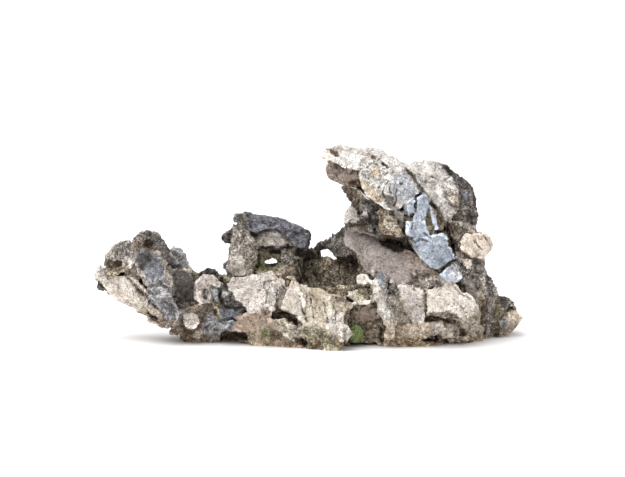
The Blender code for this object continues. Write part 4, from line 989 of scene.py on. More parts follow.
    ("peach", 1.0, [
        (147, 103), (154, 108), (166, 110), (176, 106), (184, 98), (182, 92), (176, 88), (170, 83),
        (160, 85), (150, 90),
    ]),
    ("tan", 1.2, [(150, 91), (160, 86), (170, 84), (160, 81), (150, 85)]),
    ("grey", 2.0, [(148, 84), (174, 80), (175, 62), (160, 60), (148, 68)]),
    ("cream", 0.7, [(152, 81), (160, 82), (162, 75), (158, 72), (153, 73)]),
    ("scoop", 1.2, [(152, 60), (160, 61), (166, 50), (164, 41), (156, 48)]),
    ("grey", 1.2, [(176, 62), (184, 58), (186, 46), (178, 46)]),
    # The foot
    ("white", 0.8, [
        (117, 49), (130, 50), (138, 60), (145, 55), (152, 47), (164, 39), (167, 31), (160, 22), (152, 21),
        (145, 27), (138, 29), (117, 28),
    ]),
    ("pink", 0.8, [
        (87, 56), (94, 52), (112, 50), (115, 40), (113, 20), (105, 17), (98, 22), (97, 36), (90, 46),
    ]),
    ("olive", 0.8, [(113, 50), (117, 50), (117, 28), (113, 28)]),
    ("beige", 1.2, [(150, 22), (166, 32), (174, 42), (173, 28), (170, 16), (172, 6), (150, -1), (147, 14)]),
    ("brown", 1.0, [(114, 27), (138, 29), (146, 26), (152, 20), (145, 15), (130, 20), (120, 24)]),
    ("pink", 1.5, [(120, 18), (134, 17), (134, 7), (120, 6)]),
    ("tan", 1.5, [(73, 18), (118, 18), (120, 2), (73, 2)]),
    ("rust", 1.2, [(84, 3), (108, 3), (110, -5), (80, -3)]),
    ("rust", 1.2, [(28, -3), (44, 2), (50, -4), (30, -8)]),
    ("cave_shade", 1.0, [(111, 2), (138, 2), (138, -3), (110, -3)]),
    ("cream", 0.8, [(136, 13), (143, 12), (143, 0), (137, 0)]),
    ("grey", 0.8, [(143, 11), (147, 10), (147, 0), (143, 0)]),
    ("cave_shade", 1.0, [(148, 12), (156, 12), (156, 4), (149, 4)]),
    ("soil", 0.8, [(171, 40), (178, 42), (179, 20), (175, 10), (170, 16)]),
    ("grey", 1.5, [(178, 44), (184, 44), (186, 10), (178, 8)]),
    ("olive", 1.5, [(184, 40), (194, 38), (192, 20), (184, 18)]),
    ("dark", 1.0, [(190, 44), (198, 43), (198, 32), (193, 32)]),
    ("grey", 1.0, [(197, 42), (205, 36), (206, 31), (198, 30)]),
    ("tan", 0.8, [(196, 27), (205, 29), (213, 22), (209, 13), (198, 8), (194, 16)]),
    ("slate", 1.2, [(192, 22), (198, 21), (198, 14), (192, 14)]),
    # The plates
    ("mottled", 2.0, [(138, 77), (146, 76), (150, 66), (146, 60), (139, 65)]),
]

# Cracks and pits that the front shows: a width, a depth, and the points they run through.
CRACKS = [
    (1.0, 2.4, [(78, 159), (75, 155)]),
    (1.2, 2.4, [(74, 152), (72, 147), (75, 143)]),
    (1.4, 2.2, [(68, 153), (72, 157), (76, 160)]),
    (1.2, 2.2, [(87, 152), (86, 145), (86, 137), (84, 133)]),
    (1.2, 1.8, [(81, 156), (79, 149), (80, 146)]),
    (2.2, 3.0, [(90.5, 156.5), (91.5, 156)]),
    (2.0, 2.4, [(72, 177), (76, 175), (78, 172)]),
    (1.4, 2.0, [(77, 168), (76, 166)]),
    (1.4, 2.0, [(54, 185), (53, 184)]),
    (1.2, 1.6, [(95, 173), (99, 169), (104, 163), (108, 157)]),
    (1.6, 2.2, [(110, 155), (113, 150), (112, 145)]),
    (1.2, 1.6, [(132, 158), (136, 161), (140, 164)]),
    (1.6, 1.6, [(109, 166), (110, 165)]),
    (1.6, 1.6, [(115, 159), (116, 158)]),
    (1.6, 1.6, [(120, 164), (124, 162)]),
    (2.6, 3.0, [(121, 136), (124, 134), (126, 132)]),
    (1.6, 2.4, [(138, 118), (141, 110), (145, 104)]),
    (3.0, 4.0, [(142, 101), (144, 95), (148, 90)]),
    (1.2, 1.6, [(164, 100), (168, 95), (172, 90)]),
    (1.2, 1.6, [(174, 105), (180, 95)]),
    (1.2, 2.0, [(102, 118), (101, 111)]),
    (1.0, 1.0, [(112, 131), (115, 122), (118, 114)]),
    (1.6, 2.4, [(94, 124), (102, 123), (105, 128), (106, 138)]),
    (1.8, 2.6, [(98, 101), (104, 98), (110, 100), (119, 98)]),
    (1.8, 2.4, [(120, 110), (128, 108), (136, 110)]),
    (1.6, 2.4, [(124, 70), (130, 68), (140, 78), (147, 80)]),
    (1.4, 1.8, [(113, 107), (117, 104), (120, 102)]),
    (1.0, 1.2, [(128, 94), (136, 90), (142, 84)]),
    (1.8, 2.6, [(-163, 27), (-158, 24), (-150, 21)]),
    (1.6, 2.0, [(-182, 62), (-174, 52), (-162, 40), (-152, 32), (-146, 24)]),
    (1.6, 2.2, [(-100, 16), (-104, 12), (-107, 9)]),
    (2.0, 2.6, [(-90, 18), (-84, 17), (-79, 17)]),
    (2.2, 2.8, [(-84, 33), (-74, 31), (-65, 32)]),
    (2.2, 2.8, [(-89, 47), (-90, 41), (-87, 36)]),
    (2.0, 2.6, [(-105, 50), (-105, 42)]),
    (1.2, 1.4, [(-44, 62), (-46, 54), (-42, 46), (-44, 38)]),
    (1.4, 1.8, [(-32, 50), (-33, 42), (-34, 32)]),
    (1.4, 1.8, [(-28, 55), (-24, 50)]),
    (1.2, 1.4, [(-10, 56), (-4, 48), (4, 44)]),
    (1.4, 1.6, [(-10, 40), (-8, 30), (-3, 20)]),
    (1.4, 1.6, [(0, 42), (3, 32), (4, 22)]),
    (1.2, 1.4, [(14, 38), (16, 28), (18, 16)]),
    (1.2, 1.4, [(24, 36), (26, 26), (24, 14)]),
    (1.2, 1.4, [(147, 39), (151, 33), (155, 27)]),
    (1.0, 1.2, [(142, 55), (150, 47), (160, 41)]),
    (1.2, 1.6, [(116, 50), (115, 40), (116, 30)]),
    (1.8, 2.4, [(120, 25), (130, 21), (138, 18)]),
    (2.2, 3.0, [(198, 29), (202, 32), (208, 31)]),
    (1.6, 2.2, [(196, 26), (194, 18)]),
    (1.8, 3.0, [(37, 78), (37, 70)]),
    (1.4, 2.0, [(30, 80), (28, 68), (30, 60)]),
    (1.4, 2.0, [(44, 76), (46, 66)]),
    (1.2, 1.8, [(-12, 80), (-8, 68), (-4, 60)]),
    (1.2, 1.8, [(2, 78), (4, 66), (10, 58)]),
    (1.0, 1.2, [(-72, 122), (-66, 112)]),
    (1.0, 1.2, [(-69, 124), (-63, 114)]),
    (1.0, 1.2, [(-74, 116), (-70, 108)]),
    (1.6, 2.2, [(-52, 107), (-44, 110), (-34, 110), (-28, 106), (-24, 100)]),
    (1.2, 1.6, [(-42, 118), (-39, 119)]),
    (1.6, 2.2, [(54, 133), (51, 128), (48, 124)]),
    (2.2, 3.0, [(58, 126), (60, 118), (64, 110)]),
    (1.4, 2.0, [(64, 128), (66, 120)]),
    (1.6, 2.4, [(49, 134), (47, 130)]),
]


class Coat:
    """What the skin wears at each of its corners: a colour, and how crumbly, mottled and glossy it is."""

    def __init__(self, tone):
        self.tone = tone
        self.colour = np.zeros((len(tone), 3))
        self.traits = np.zeros((len(tone), 3))

    def lay(self, name, share, where=slice(None)):
        """Lays a finish over a share of what is there."""
        finish = FINISHES[name]
        light, dark = linear(finish.light), linear(finish.dark)
        share = np.asarray(share)[..., None]
        colour = dark + (light - dark) * self.tone[where][..., None]
        traits = np.array(finish[2:])
        self.colour[where] += (colour - self.colour[where]) * share
        self.traits[where] += (traits - self.traits[where]) * share


def linear(colour):
    """The linear light of a colour given as the eye counts it, 0 to 255."""
    return (np.array(colour) / 255.0) ** 2.2


def smooth_step(values, start, end):
    share = np.clip((values - start) / (end - start), 0.0, 1.0)
    return share * share * (3.0 - 2.0 * share)


def edge_reach(points, ends):
    """How far each drawn point lies from the nearest of some straight lines, given by their ends."""
    nearest = np.full(len(points), np.inf)
    for start, end in ends:
        start, run = np.array(start), np.subtract(end, start)
        along = np.clip((points - start) @ run / (run @ run), 0.0, 1.0)
        nearest = np.minimum(nearest, np.linalg.norm(points - start - along[:, None] * run, axis=1))
    return nearest


def depth_inside(points, outline):
    """How far inside a drawn outline each point lies, below zero outside."""
    ends = list(zip(outline, outline[1:] + outline[:1]))
    inside = np.zeros(len(points), bool)
    x, y = points.T
    for (start_x, start_y), (end_x, end_y) in ends:
        if start_y != end_y:
            crossing_x = start_x + (y - start_y) * (end_x - start_x) / (end_y - start_y)
            inside ^= ((start_y > y) != (end_y > y)) & (x < crossing_x)
    reach = edge_reach(points, ends)
    return np.where(inside, reach, -reach)


# How the front is told from what it hides, in drawing units, and how plainly a mark has to be seen
SIGHT_CELL = 2.0
SIGHT_DEPTHS = (3.0, 9.0)
SIGHT_FACING = (-0.35, 0.0)
PATCH_SIGHT = 0.02
CRACK_SIGHT = 0.05
MARK_MARGIN = 3.0
CRACK_SLOPE = (0.2, 0.9)

# The sizes in metres of what the skin is broken into, and how far each is bent out of its place
TONE_SIZES = (0.016, 0.004)
CREASE_REACH = 0.0036
SHELTER_REACH = 0.013
LUMP_SIZES = (0.0072, 0.0033)
LUMP_GAP = 1.6
FACE_SIZE = 0.0060
PIT_SPACING = 0.0068
PIT_SHARE = 0.2
PIT_SLOPE = (0.08, 0.24)
SWELL_SIZE = 0.010
GRAIN_RELIEF_SIZE = 0.0026
BENDS = ((0.009, 3.0 * UNIT), (0.0035, 1.0 * UNIT))
PATCH_BENDS = ((0.006, 1.2), (0.0022, 0.6))
OWNER_BEND = (0.005, 1.6 * UNIT)

# The heights of the relief in drawing units: on smooth stone, and what is added on rubbly stone
BIG_LUMP_HEIGHT = 1.5
SMALL_LUMP_HEIGHT = 1.0
FACE_HEIGHTS = (0.25, 1.3)
SWELL_HEIGHTS = (0.35, 0.5)
GRAIN_HEIGHTS = (0.16, 0.35)
CREASE_DEPTH = 2.6
PIT_DEPTH = 1.3

# Where painted shade starts and is full, how much of it gathers there, where edges are worn pale, with a
# painted highlight on glossy stone, and how much rust and painted shade the low faces take
CREASE_SHADE = (0.57, 0.82)
SHELTER_SHADE = (0.64, 0.9)
BIG_GAP = (0.02, 0.26)
SMALL_GAP = (0.02, 0.28)
SHADED_CUT = 1.6
WORN_AND_HIGHLIT_EDGE = (0.02, 0.2)
FOOT_STAIN_AND_SHADE = 0.45

SHARP_ANGLE = math.radians(42.0)


def seen_from_front(points, facing):
    """How plainly each drawn point is seen from the front, from 0 where something covers it to 1."""
    cells = np.floor(points[:, :2] / SIGHT_CELL).astype(int)
    cells += 1 - cells.min(axis=0)
    nearest = np.full(cells.max(axis=0) + 2, np.inf)
    np.minimum.at(nearest, tuple(cells.T), points[:, 2])
    behind = points[:, 2] - nearest[tuple(cells.T)]
    return (1.0 - smooth_step(behind, *SIGHT_DEPTHS)) * smooth_step(facing, *SIGHT_FACING)


def mesh_arrays(mesh):
    """A mesh's corners and normals."""
    places = np.empty(len(mesh.vertices) * 3)
    normals = np.empty(len(mesh.vertices) * 3)
    mesh.vertices.foreach_get("co", places)
    mesh.vertex_normals.foreach_get("vector", normals)
    return places.reshape(-1, 3), normals.reshape(-1, 3)


def at(stone, grid, places):
    """The values of a grid at the points nearest to some places."""
    spots = []
    for axis, line in enumerate(stone.lines):
        spot = np.round((places[:, axis] - line[0]) / CELL).astype(int)
        spots.append(np.clip(spot, 0, len(line) - 1))
    return grid[tuple(spots)]


def crowding(stone, reach):
    """How much of a cube of that half width round each grid point is stone."""
    share = (stone.distances < 0.0).astype(np.float32)
    steps = round(reach / CELL)
    for axis in range(3):
        total = np.cumsum(share, axis=axis)
        ahead = np.roll(total, -steps, axis=axis)
        behind = np.roll(total, steps + 1, axis=axis)
        share = (ahead - behind) / np.float32(2 * steps + 1)
    return np.clip(share, 0.0, 1.0)


def sight_of(normals):
    """How squarely each normal faces the eye in front."""
    return -normals[:, 1] * math.cos(SIGHT_ANGLE) + normals[:, 2] * math.sin(SIGHT_ANGLE)


def wander(places, size, reach):
    """A smooth random step for each place, that changes over a size, both in metres."""
    return np.array([noise.noise_vector(Vector(place) / size) for place in places]) * reach


def undulation(places, size, octaves=3):
    """Smooth noise about zero at each place, with detail down from a size in metres."""
    return np.array([noise.fractal(Vector(place) / size, 0.9, 2.0, octaves) for place in places])


def lumps(places, size):
    """How near each place is to the middle of its lump, 1 in the middle and 0 where two lumps meet."""
    near = np.array([noise.voronoi(Vector(place) / size)[0][:2] for place in places])
    return np.clip((near[:, 1] - near[:, 0]) * LUMP_GAP, 0.0, 1.0)


def chips(places, size):
    """Heights of broken faces, each flat, tilted and set in or out its own way, about zero."""
    heights = np.empty(len(places))
    for number, place in enumerate(places):
        spot = Vector(place) / size
        middle = noise.voronoi(spot)[1][0]
        turn = noise.cell_vector(middle * CHIP_DRAW) - HALF
        heights[number] = turn.dot(spot - middle) * 2.0 + turn.x * 0.7
    return heights


def pits(places, size):
    """Scattered round pits, from 0 outside them to 1 at their middles."""
    depth = np.zeros(len(places))
    for number, place in enumerate(places):
        distances, middles = noise.voronoi(Vector(place) / size)
        if noise.cell(middles[0] * 5.0) > PIT_SHARE:
            depth[number] = distances[0]
        else:
            depth[number] = 1.0
    return 1.0 - smooth_step(depth, *PIT_SLOPE)


def near_mark(points, mark, seen, sight):
    """The numbers of the points that are seen plainly enough and lie close to a drawn mark."""
    low, high = np.min(mark, axis=0) - MARK_MARGIN, np.max(mark, axis=0) + MARK_MARGIN
    return np.flatnonzero(((points > low) & (points < high)).all(axis=1) & (seen > sight))


def cut_depth(points, seen):
    """How deep the cracks and pits of the front go at each drawn point."""
    depth = np.zeros(len(points))
    for width, deep, line in CRACKS:
        near = near_mark(points, line, seen, CRACK_SIGHT)
        reach = edge_reach(points[near], list(zip(line, line[1:])))
        share = 1.0 - smooth_step(reach, CRACK_SLOPE[0] * width, CRACK_SLOPE[1] * width)
        depth[near] = np.maximum(depth[near], deep * share * seen[near])
    return depth


def owner_coat(stone, places, tone):
    """The finish of the block that each place belongs to."""
    coat = Coat(tone)
    bent = places + wander(places, *OWNER_BEND)
    owners = at(stone, stone.finishes, bent)
    for number, name in enumerate(FINISH_NAMES):
        owned = np.flatnonzero(owners == number)
        coat.lay(name, np.ones(len(owned)), owned)
    return coat


def lay_patches(coat, points, seen):
    """Lays what the front shows over the blocks' own finishes."""
    for name, soft, outline in PATCHES:
        near = near_mark(points, outline, seen, PATCH_SIGHT)
        share = smooth_step(depth_inside(points[near], outline), -soft, soft) * seen[near]
        coat.lay(name, share, near)


def broken_up(places, crumb):
    """How rubbly each place is, and the lumps, small lumps, broken faces and pits that it lies on."""
    rubbly = smooth_step(crumb, 0.15, 0.9)
    bent = places + wander(places, *BENDS[0]) + wander(places, *BENDS[1])
    rubbly *= 0.3 + 0.7 * smooth_step(undulation(places, 0.030, 2), -0.45, 0.25)
    big, small = (lumps(bent, size) for size in LUMP_SIZES)
    pitted = pits(places, PIT_SPACING) * (1.0 - 0.5 * rubbly)
    return rubbly, big, small, chips(bent, FACE_SIZE), pitted


def relief_of(places, crumb, parts, creases, cut):
    """How far the fine relief moves each place outward, in drawing units."""
    rubbly, big, small, faces, pitted = parts
    relief = ((big - 0.5) * BIG_LUMP_HEIGHT + (small - 0.5) * SMALL_LUMP_HEIGHT) * rubbly
    relief += faces * (FACE_HEIGHTS[0] + FACE_HEIGHTS[1] * rubbly)
    relief += undulation(places, SWELL_SIZE) * (SWELL_HEIGHTS[0] + SWELL_HEIGHTS[1] * crumb)
    relief += undulation(places, GRAIN_RELIEF_SIZE, 2) * (GRAIN_HEIGHTS[0] + GRAIN_HEIGHTS[1] * crumb)
    relief -= (creases - 0.5) * CREASE_DEPTH + pitted * PIT_DEPTH + cut
    return relief


def painted_shade_of(parts, creases, shelter, cut, gloss):
    """How much painted shade each place takes: in creases and under shelter, between lumps, in cuts and in
    pits, less on glossy stone.
    """
    rubbly, big, small, _, pitted = parts
    gaps = (1.0 - smooth_step(big, *BIG_GAP)) * 0.75 + (1.0 - smooth_step(small, *SMALL_GAP)) * 0.4
    painted_shade = 0.8 * smooth_step(creases, *CREASE_SHADE) + 0.25 * smooth_step(shelter, *SHELTER_SHADE)
    painted_shade = np.maximum(painted_shade + gaps * rubbly * 0.7, np.minimum(cut / SHADED_CUT, 1.0))
    return np.clip(np.maximum(painted_shade, pitted * 0.8) * (1.0 - 2.0 * gloss), 0.0, 1.0)


def dress(body, stone):
    """Gives the skin its fine relief, and keeps what it wears on the mesh for its material to read."""
    mesh = body.data
    places, normals = mesh_arrays(mesh)
    points = drawn(places)
    seen = seen_from_front(points, sight_of(normals))
    creases = at(stone, crowding(stone, CREASE_REACH), places)
    shelter = at(stone, crowding(stone, SHELTER_REACH), places)

    broad, small = undulation(places, TONE_SIZES[0]), undulation(places, TONE_SIZES[1], 2)
    coat = owner_coat(stone, places, np.clip(0.5 + 0.55 * broad + 0.35 * small, 0.0, 1.0))
    warped = points[:, :2]
    for bend in PATCH_BENDS:
        warped = warped + wander(places, *bend)[:, :2]
    lay_patches(coat, warped, seen)
    # Faces near the table that face downward take rust: partly the warm brown stain along the foot, partly
    # painted shade under the overhangs.
    low_and_downward = (1.0 - smooth_step(places[:, 2], 0.002, 0.016)) * smooth_step(-normals[:, 2], -0.4, 0.6)
    coat.lay("rust", low_and_downward * FOOT_STAIN_AND_SHADE)

    crumb, mottle, gloss = coat.traits.T
    parts = broken_up(places, crumb)
    cut = cut_depth(warped, seen) * (0.35 + 0.65 * smooth_step(undulation(places, 0.005, 2), -0.5, 0.1))
    relief = relief_of(places, crumb, parts, creases, cut)
    moved = places + normals * relief[:, None] * UNIT
    moved[:, 2] = np.where(places[:, 2] < FOOT_HAIR, 0.0, np.maximum(moved[:, 2], 0.0))
    mesh.vertices.foreach_set("co", moved.ravel())
    mesh.update()

    tint = np.ones((len(places), 4), np.float32)
    tint[:, :3] = coat.colour
    mesh.attributes.new("tint", "FLOAT_COLOR", "POINT").data.foreach_set("color", tint.ravel())
    values = {
        "crumb": crumb, "mottle": mottle, "gloss": gloss,
        # painted shade: darkening in creases, under shelter, between lumps and in cuts and pits
        "painted_shade": painted_shade_of(parts, creases, shelter, cut, gloss),
        # pale convex edges: wear, and on glossy stone a painted highlight
        "wear_and_highlight": smooth_step(0.5 - creases, *WORN_AND_HIGHLIT_EDGE),
    }
    for name, value in values.items():
        mesh.attributes.new(name, "FLOAT", "POINT").data.foreach_set("value", value.astype(np.float32))


def split(whole, cuts, names):
    """Cuts the skin across at each place along X into closed lengths that meet face to face."""
    rest = bmesh.new()
    rest.from_mesh(whole.data)
    lengths = []
    for name, cut in zip(names, cuts + [None]):
        length = rest.copy() if cut is not None else rest
        if cut is not None:
            trim(length, cut, 1.0)
            trim(rest, cut, -1.0)
        body = modelled(name, length)
        body.data.shade_smooth()
        body.data.set_sharp_from_angle(angle=SHARP_ANGLE)
        lengths.append(body)
    bpy.data.objects.remove(whole)
    return lengths


def trim(shape, cut, side):
    """Takes away what lies past a place along X on one side, and closes the cut."""
    geometry = shape.verts[:] + shape.edges[:] + shape.faces[:]
    made = bmesh.ops.bisect_plane(shape, geom=geometry, plane_co=(cut, 0, 0), plane_no=(side, 0, 0),
                                  clear_outer=True)
    rims = [item for item in made["geom_cut"] if isinstance(item, bmesh.types.BMEdge)]
    rims = [edge for edge in rims if len(edge.link_faces) == 1]
    bmesh.ops.triangle_fill(shape, edges=rims, normal=(side, 0, 0))


class Nodes:
    """Lays out a material's nodes and links."""

    def __init__(self, name):
        self.material = bpy.data.materials.new(name)
        self.material.use_nodes = True
        self.tree = self.material.node_tree
        self.shader = self.tree.nodes["Principled BSDF"]

    def add(self, kind, inputs=(), **settings):
        node = self.tree.nodes.new(kind)
        for key, value in settings.items():
            setattr(node, key, value)
        for key, value in dict(inputs).items():
            self.put(value, node.inputs[key])
        return node

    def put(self, value, socket):
        """Links a socket to another, or sets it."""
        if isinstance(value, bpy.types.NodeSocket):
            self.tree.links.new(value, socket)
        else:
            socket.default_value = value

    def math(self, operation, *values, clamp=False):
        node = self.add("ShaderNodeMath", enumerate(values), operation=operation, use_clamp=clamp)
        return node.outputs[0]

    def plus(self, value, more, factor):
        """A value with another added to it, times a factor."""
        return self.math("ADD", value, self.math("MULTIPLY", more, factor))

    def less(self, value, other, factor):
        """A value with another taken from it, times a factor."""
        return self.math("SUBTRACT", value, self.math("MULTIPLY", other, factor))

    def value(self, name):
        """A number kept on the mesh."""
        return self.add("ShaderNodeAttribute", attribute_name=name).outputs["Fac"]

    def noise(self, where, scale, detail=2.0, roughness=0.5, distortion=0.0):
        """Noise spread to run from about -1 to 1."""
        inputs = {"Vector": where, "Scale": scale, "Detail": detail, "Roughness": roughness,
                  "Distortion": distortion}
        node = self.add("ShaderNodeTexNoise", inputs)
        return self.math("MULTIPLY", self.math("SUBTRACT", node.outputs["Fac"], 0.5), 4.0)

    def mix(self, share, first, second, blend="MIX"):
        """Two colours mixed."""
        node = self.add("ShaderNodeMix", data_type="RGBA", blend_type=blend, clamp_result=False)
        self.put(share, node.inputs[0])
        self.put(first, node.inputs[6])
        self.put(second, node.inputs[7])
        return node.outputs[2]


# A near-black brown for the painted shade in the recesses.
SHADE_COLOUR = (0.026, 0.020, 0.015, 1.0)
CRACK_COLOUR = (0.055, 0.044, 0.035, 1.0)
LIGHTEST = 2.2
HAIRLINE_WIDTH = 0.045
CRACK_STRENGTH = 0.75
GRAIN_BUMP = 0.0008


def stone_material():
    """Weathered limestone: the skin's own tint, broken by grains, specks and blotches, with painted shade in
    its recesses, and worn pale edges that carry a painted highlight on glossy stone.
    """
    m = Nodes("limestone")
    where = m.add("ShaderNodeTexCoord").outputs["Object"]
    tint = m.add("ShaderNodeAttribute", attribute_name="tint").outputs["Color"]
    crumb, mottle, gloss = m.value("crumb"), m.value("mottle"), m.value("gloss")
    painted_shade, wear_and_highlight = m.value("painted_shade"), m.value("wear_and_highlight")

    coarse = m.noise(where, 330.0, 3.0, 0.65)
    fine = m.noise(where, 640.0, 2.0, 0.6)
    blotch = m.noise(where, 95.0, 4.0, 0.6)
    cloud = m.noise(where, 190.0, 5.0, 0.75, 0.8)
    grains = m.add("ShaderNodeTexVoronoi", {"Vector": where, "Scale": 430.0})
    parts = m.add("ShaderNodeSeparateColor", {"Color": grains.outputs["Color"]})
    grain = m.math("SUBTRACT", parts.outputs[0], 0.5)

    crumbly = m.plus(m.math("MULTIPLY", coarse, 1.1), grain, 1.7)
    crumbly = m.plus(crumbly, fine, 1.4)
    change = m.math("MULTIPLY", crumbly, crumb)
    cloud = m.math("MAXIMUM", m.math("MINIMUM", m.math("MULTIPLY", cloud, 1.8), 0.9), -0.9)
    change = m.plus(change, cloud, mottle)
    change = m.plus(change, fine, m.plus(0.2, crumb, 0.7))
    change = m.plus(change, blotch, 0.16)
    change = m.math("MINIMUM", change, m.math("MULTIPLY", change, 0.7))
    # Worn edges are lightened a little everywhere and much more on glossy stone, where the pale rims are a
    # painted highlight.
    change = m.plus(change, wear_and_highlight, m.plus(0.4, gloss, 3.0))
    factor = m.math("MINIMUM", m.math("POWER", 2.0, change), LIGHTEST)
    grey = m.add("ShaderNodeCombineColor", {0: factor, 1: factor, 2: factor}).outputs[0]
    colour = m.mix(1.0, tint, grey, "MULTIPLY")

    warp = m.add("ShaderNodeTexNoise", {"Vector": where, "Scale": 110.0, "Detail": 3.0})
    bent = m.add("ShaderNodeVectorMath", {0: warp.outputs["Color"], 1: (0.012, 0.012, 0.012)},
                 operation="MULTIPLY").outputs[0]
    bent = m.add("ShaderNodeVectorMath", {0: where, 1: bent}, operation="ADD").outputs[0]
    veins = m.add("ShaderNodeTexVoronoi", {"Vector": bent, "Scale": 75.0}, feature="DISTANCE_TO_EDGE")
    across = m.math("DIVIDE", veins.outputs["Distance"], HAIRLINE_WIDTH)
    hairline = m.math("SUBTRACT", 1.0, across, clamp=True)
    broken = m.math("ADD", m.math("MULTIPLY", blotch, 1.5), 0.35, clamp=True)
    hairline = m.math("MULTIPLY", m.math("MULTIPLY", hairline, broken), CRACK_STRENGTH)
    holes = m.add("ShaderNodeTexVoronoi", {"Vector": where, "Scale": 260.0})
    hole = m.math("SUBTRACT", 1.6, m.math("MULTIPLY", holes.outputs["Distance"], 5.0), clamp=True)
    kind = m.add("ShaderNodeSeparateColor", {"Color": holes.outputs["Color"]}).outputs[1]
    rare = m.math("GREATER_THAN", kind, m.less(0.84, crumb, 0.3))
    hole = m.math("MULTIPLY", m.math("MULTIPLY", hole, rare), CRACK_STRENGTH)
    opened = m.math("MAXIMUM", hairline, hole)
    colour = m.mix(opened, colour, CRACK_COLOUR)

    # Painted shade: the recesses are darkened toward a near-black brown.
    shade_share = m.math("MULTIPLY", painted_shade, m.plus(0.9, coarse, 0.35), clamp=True)
    colour = m.mix(shade_share, colour, SHADE_COLOUR)
    m.put(colour, m.shader.inputs["Base Color"])

    rough = m.less(0.95, gloss, 0.9)
    m.put(m.math("ADD", rough, m.math("MULTIPLY", fine, 0.05), clamp=True), m.shader.inputs["Roughness"])
    m.shader.inputs["Specular IOR Level"].default_value = 0.2

    height = m.plus(m.math("MULTIPLY", crumbly, m.plus(0.12, crumb, 0.6)), fine, 0.25)
    height = m.math("SUBTRACT", height, opened)
    bump = m.add("ShaderNodeBump", {"Height": height, "Strength": 0.7, "Distance": GRAIN_BUMP})
    m.put(bump.outputs[0], m.shader.inputs["Normal"])
    return m.material


def shaded_material(name, scale, roughness, strength, dark, light):
    """One colour broken by fine noise. Returns the nodes, so that more can be set."""
    m = Nodes(name)
    where = m.add("ShaderNodeTexCoord").outputs["Object"]
    noisy = m.math("MULTIPLY", m.noise(where, scale, 3.0, roughness), strength)
    shade = m.math("ADD", 0.5, noisy, clamp=True)
    m.put(m.mix(shade, (*dark, 1.0), (*light, 1.0)), m.shader.inputs["Base Color"])
    return m


def moss_material():
    """Moss: yellow-green tips over darker depths."""
    m = shaded_material("moss", 420.0, 0.7, 0.8, (0.13, 0.18, 0.05), (0.48, 0.55, 0.27))
    m.shader.inputs["Roughness"].default_value = 0.9
    m.shader.inputs["Specular IOR Level"].default_value = 0.2
    return m.material


def vein_material():
    """Pale calcite."""
    m = shaded_material("calcite", 700.0, 0.6, 0.4, (0.76, 0.70, 0.64), (0.88, 0.85, 0.82))
    m.shader.inputs["Roughness"].default_value = 0.6
    return m.material


def plain_material(name, colour, roughness):
    material = bpy.data.materials.new(name)
    material.use_nodes = True
    shader = material.node_tree.nodes["Principled BSDF"]
    shader.inputs["Base Color"].default_value = (*colour, 1.0)
    shader.inputs["Roughness"].default_value = roughness
    return material


def wear_material(body, material):
    body.data.materials.clear()
    body.data.materials.append(material)


# Where the skin is cut across, in metres along X, and what its lengths are called
CUTS = [-0.098, -0.010, 0.062, 0.118]
LENGTHS = ["stone_bow", "stone_tower", "stone_basin", "stone_peak", "stone_foot"]


def build_stone(shift):
    """The stone's fine skin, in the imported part's frame."""
    field = Field()
    for section in (bow, saddle, front_rim, tower, back_wall, peak_body, peak_head, plates, peak_foot,
                    weathered_back, hollows):
        section(field)
    weather(field)
    field.cut_at_table()
    untangle(field)
    stone = skin(field, "skin")
    keep_largest(stone)
    dress(stone, field)
    stone.data.transform(Matrix.Translation(shift))
    lengths = split(stone, CUTS, LENGTHS)
    material = stone_material()
    for length in lengths:
        wear_material(length, material)
    return lengths


# The vein's drawn points across and up, and its sizes in metres. Its step is in drawing units.
VEIN_LINE = [(40, 153), (48, 151), (52, 147), (56, 142), (62, 139), (70, 136), (75, 131), (85, 130),
             (91, 131), (98, 138), (104, 142), (110, 145), (111, 150)]
VEIN_START_DEPTH = -150
VEIN_RADIUS = 0.00075
VEIN_STAND = 0.0008
VEIN_STEP = 1.6
VEIN_THICKNESS = (0.8, 0.35)
VEIN_CHANGE_SIZE = 0.006


def vein(lengths, shift):
    """The thin calcite vein that winds across the peak's face, lying on the skin."""
    whole = bmesh.new()
    for length in lengths:
        whole.from_mesh(length.data)
    tree = BVHTree.FromBMesh(whole)
    whole.free()
    eye = Vector((0.0, math.cos(SIGHT_ANGLE), -math.sin(SIGHT_ANGLE)))
    spots = []
    for start, end in zip(VEIN_LINE, VEIN_LINE[1:]):
        steps = max(1, round(math.dist(start, end) / VEIN_STEP))
        for step in range(steps):
            across = start[0] + (end[0] - start[0]) * step / steps
            rise = start[1] + (end[1] - start[1]) * step / steps
            hit = tree.ray_cast(seat(across, rise, VEIN_START_DEPTH) + shift, eye)[0]
            if hit:
                spots.append(hit - eye * VEIN_STAND)
    groups = [spots[max(0, i - 1):i + 2] for i in range(len(spots))]
    line = [sum(group, Vector()) / len(group) for group in groups]
    curve = bpy.data.curves.new("vein", "CURVE")
    curve.dimensions = "3D"
    curve.bevel_depth = VEIN_RADIUS
    curve.bevel_resolution = 1
    curve.use_fill_caps = True
    spline = curve.splines.new("POLY")
    spline.points.add(len(line) - 1)
    for number, place in enumerate(line):
        spline.points[number].co = (*place, 1.0)
        change = noise.noise(place / VEIN_CHANGE_SIZE)
        spline.points[number].radius = VEIN_THICKNESS[0] + VEIN_THICKNESS[1] * change
    holder = shown("vein_curve", curve)
    graph = bpy.context.evaluated_depsgraph_get()
    mesh = bpy.data.meshes.new_from_object(holder.evaluated_get(graph))
    bpy.data.objects.remove(holder)
    body = shown("calcite_vein", mesh)
    wear_material(body, vein_material())
    return body


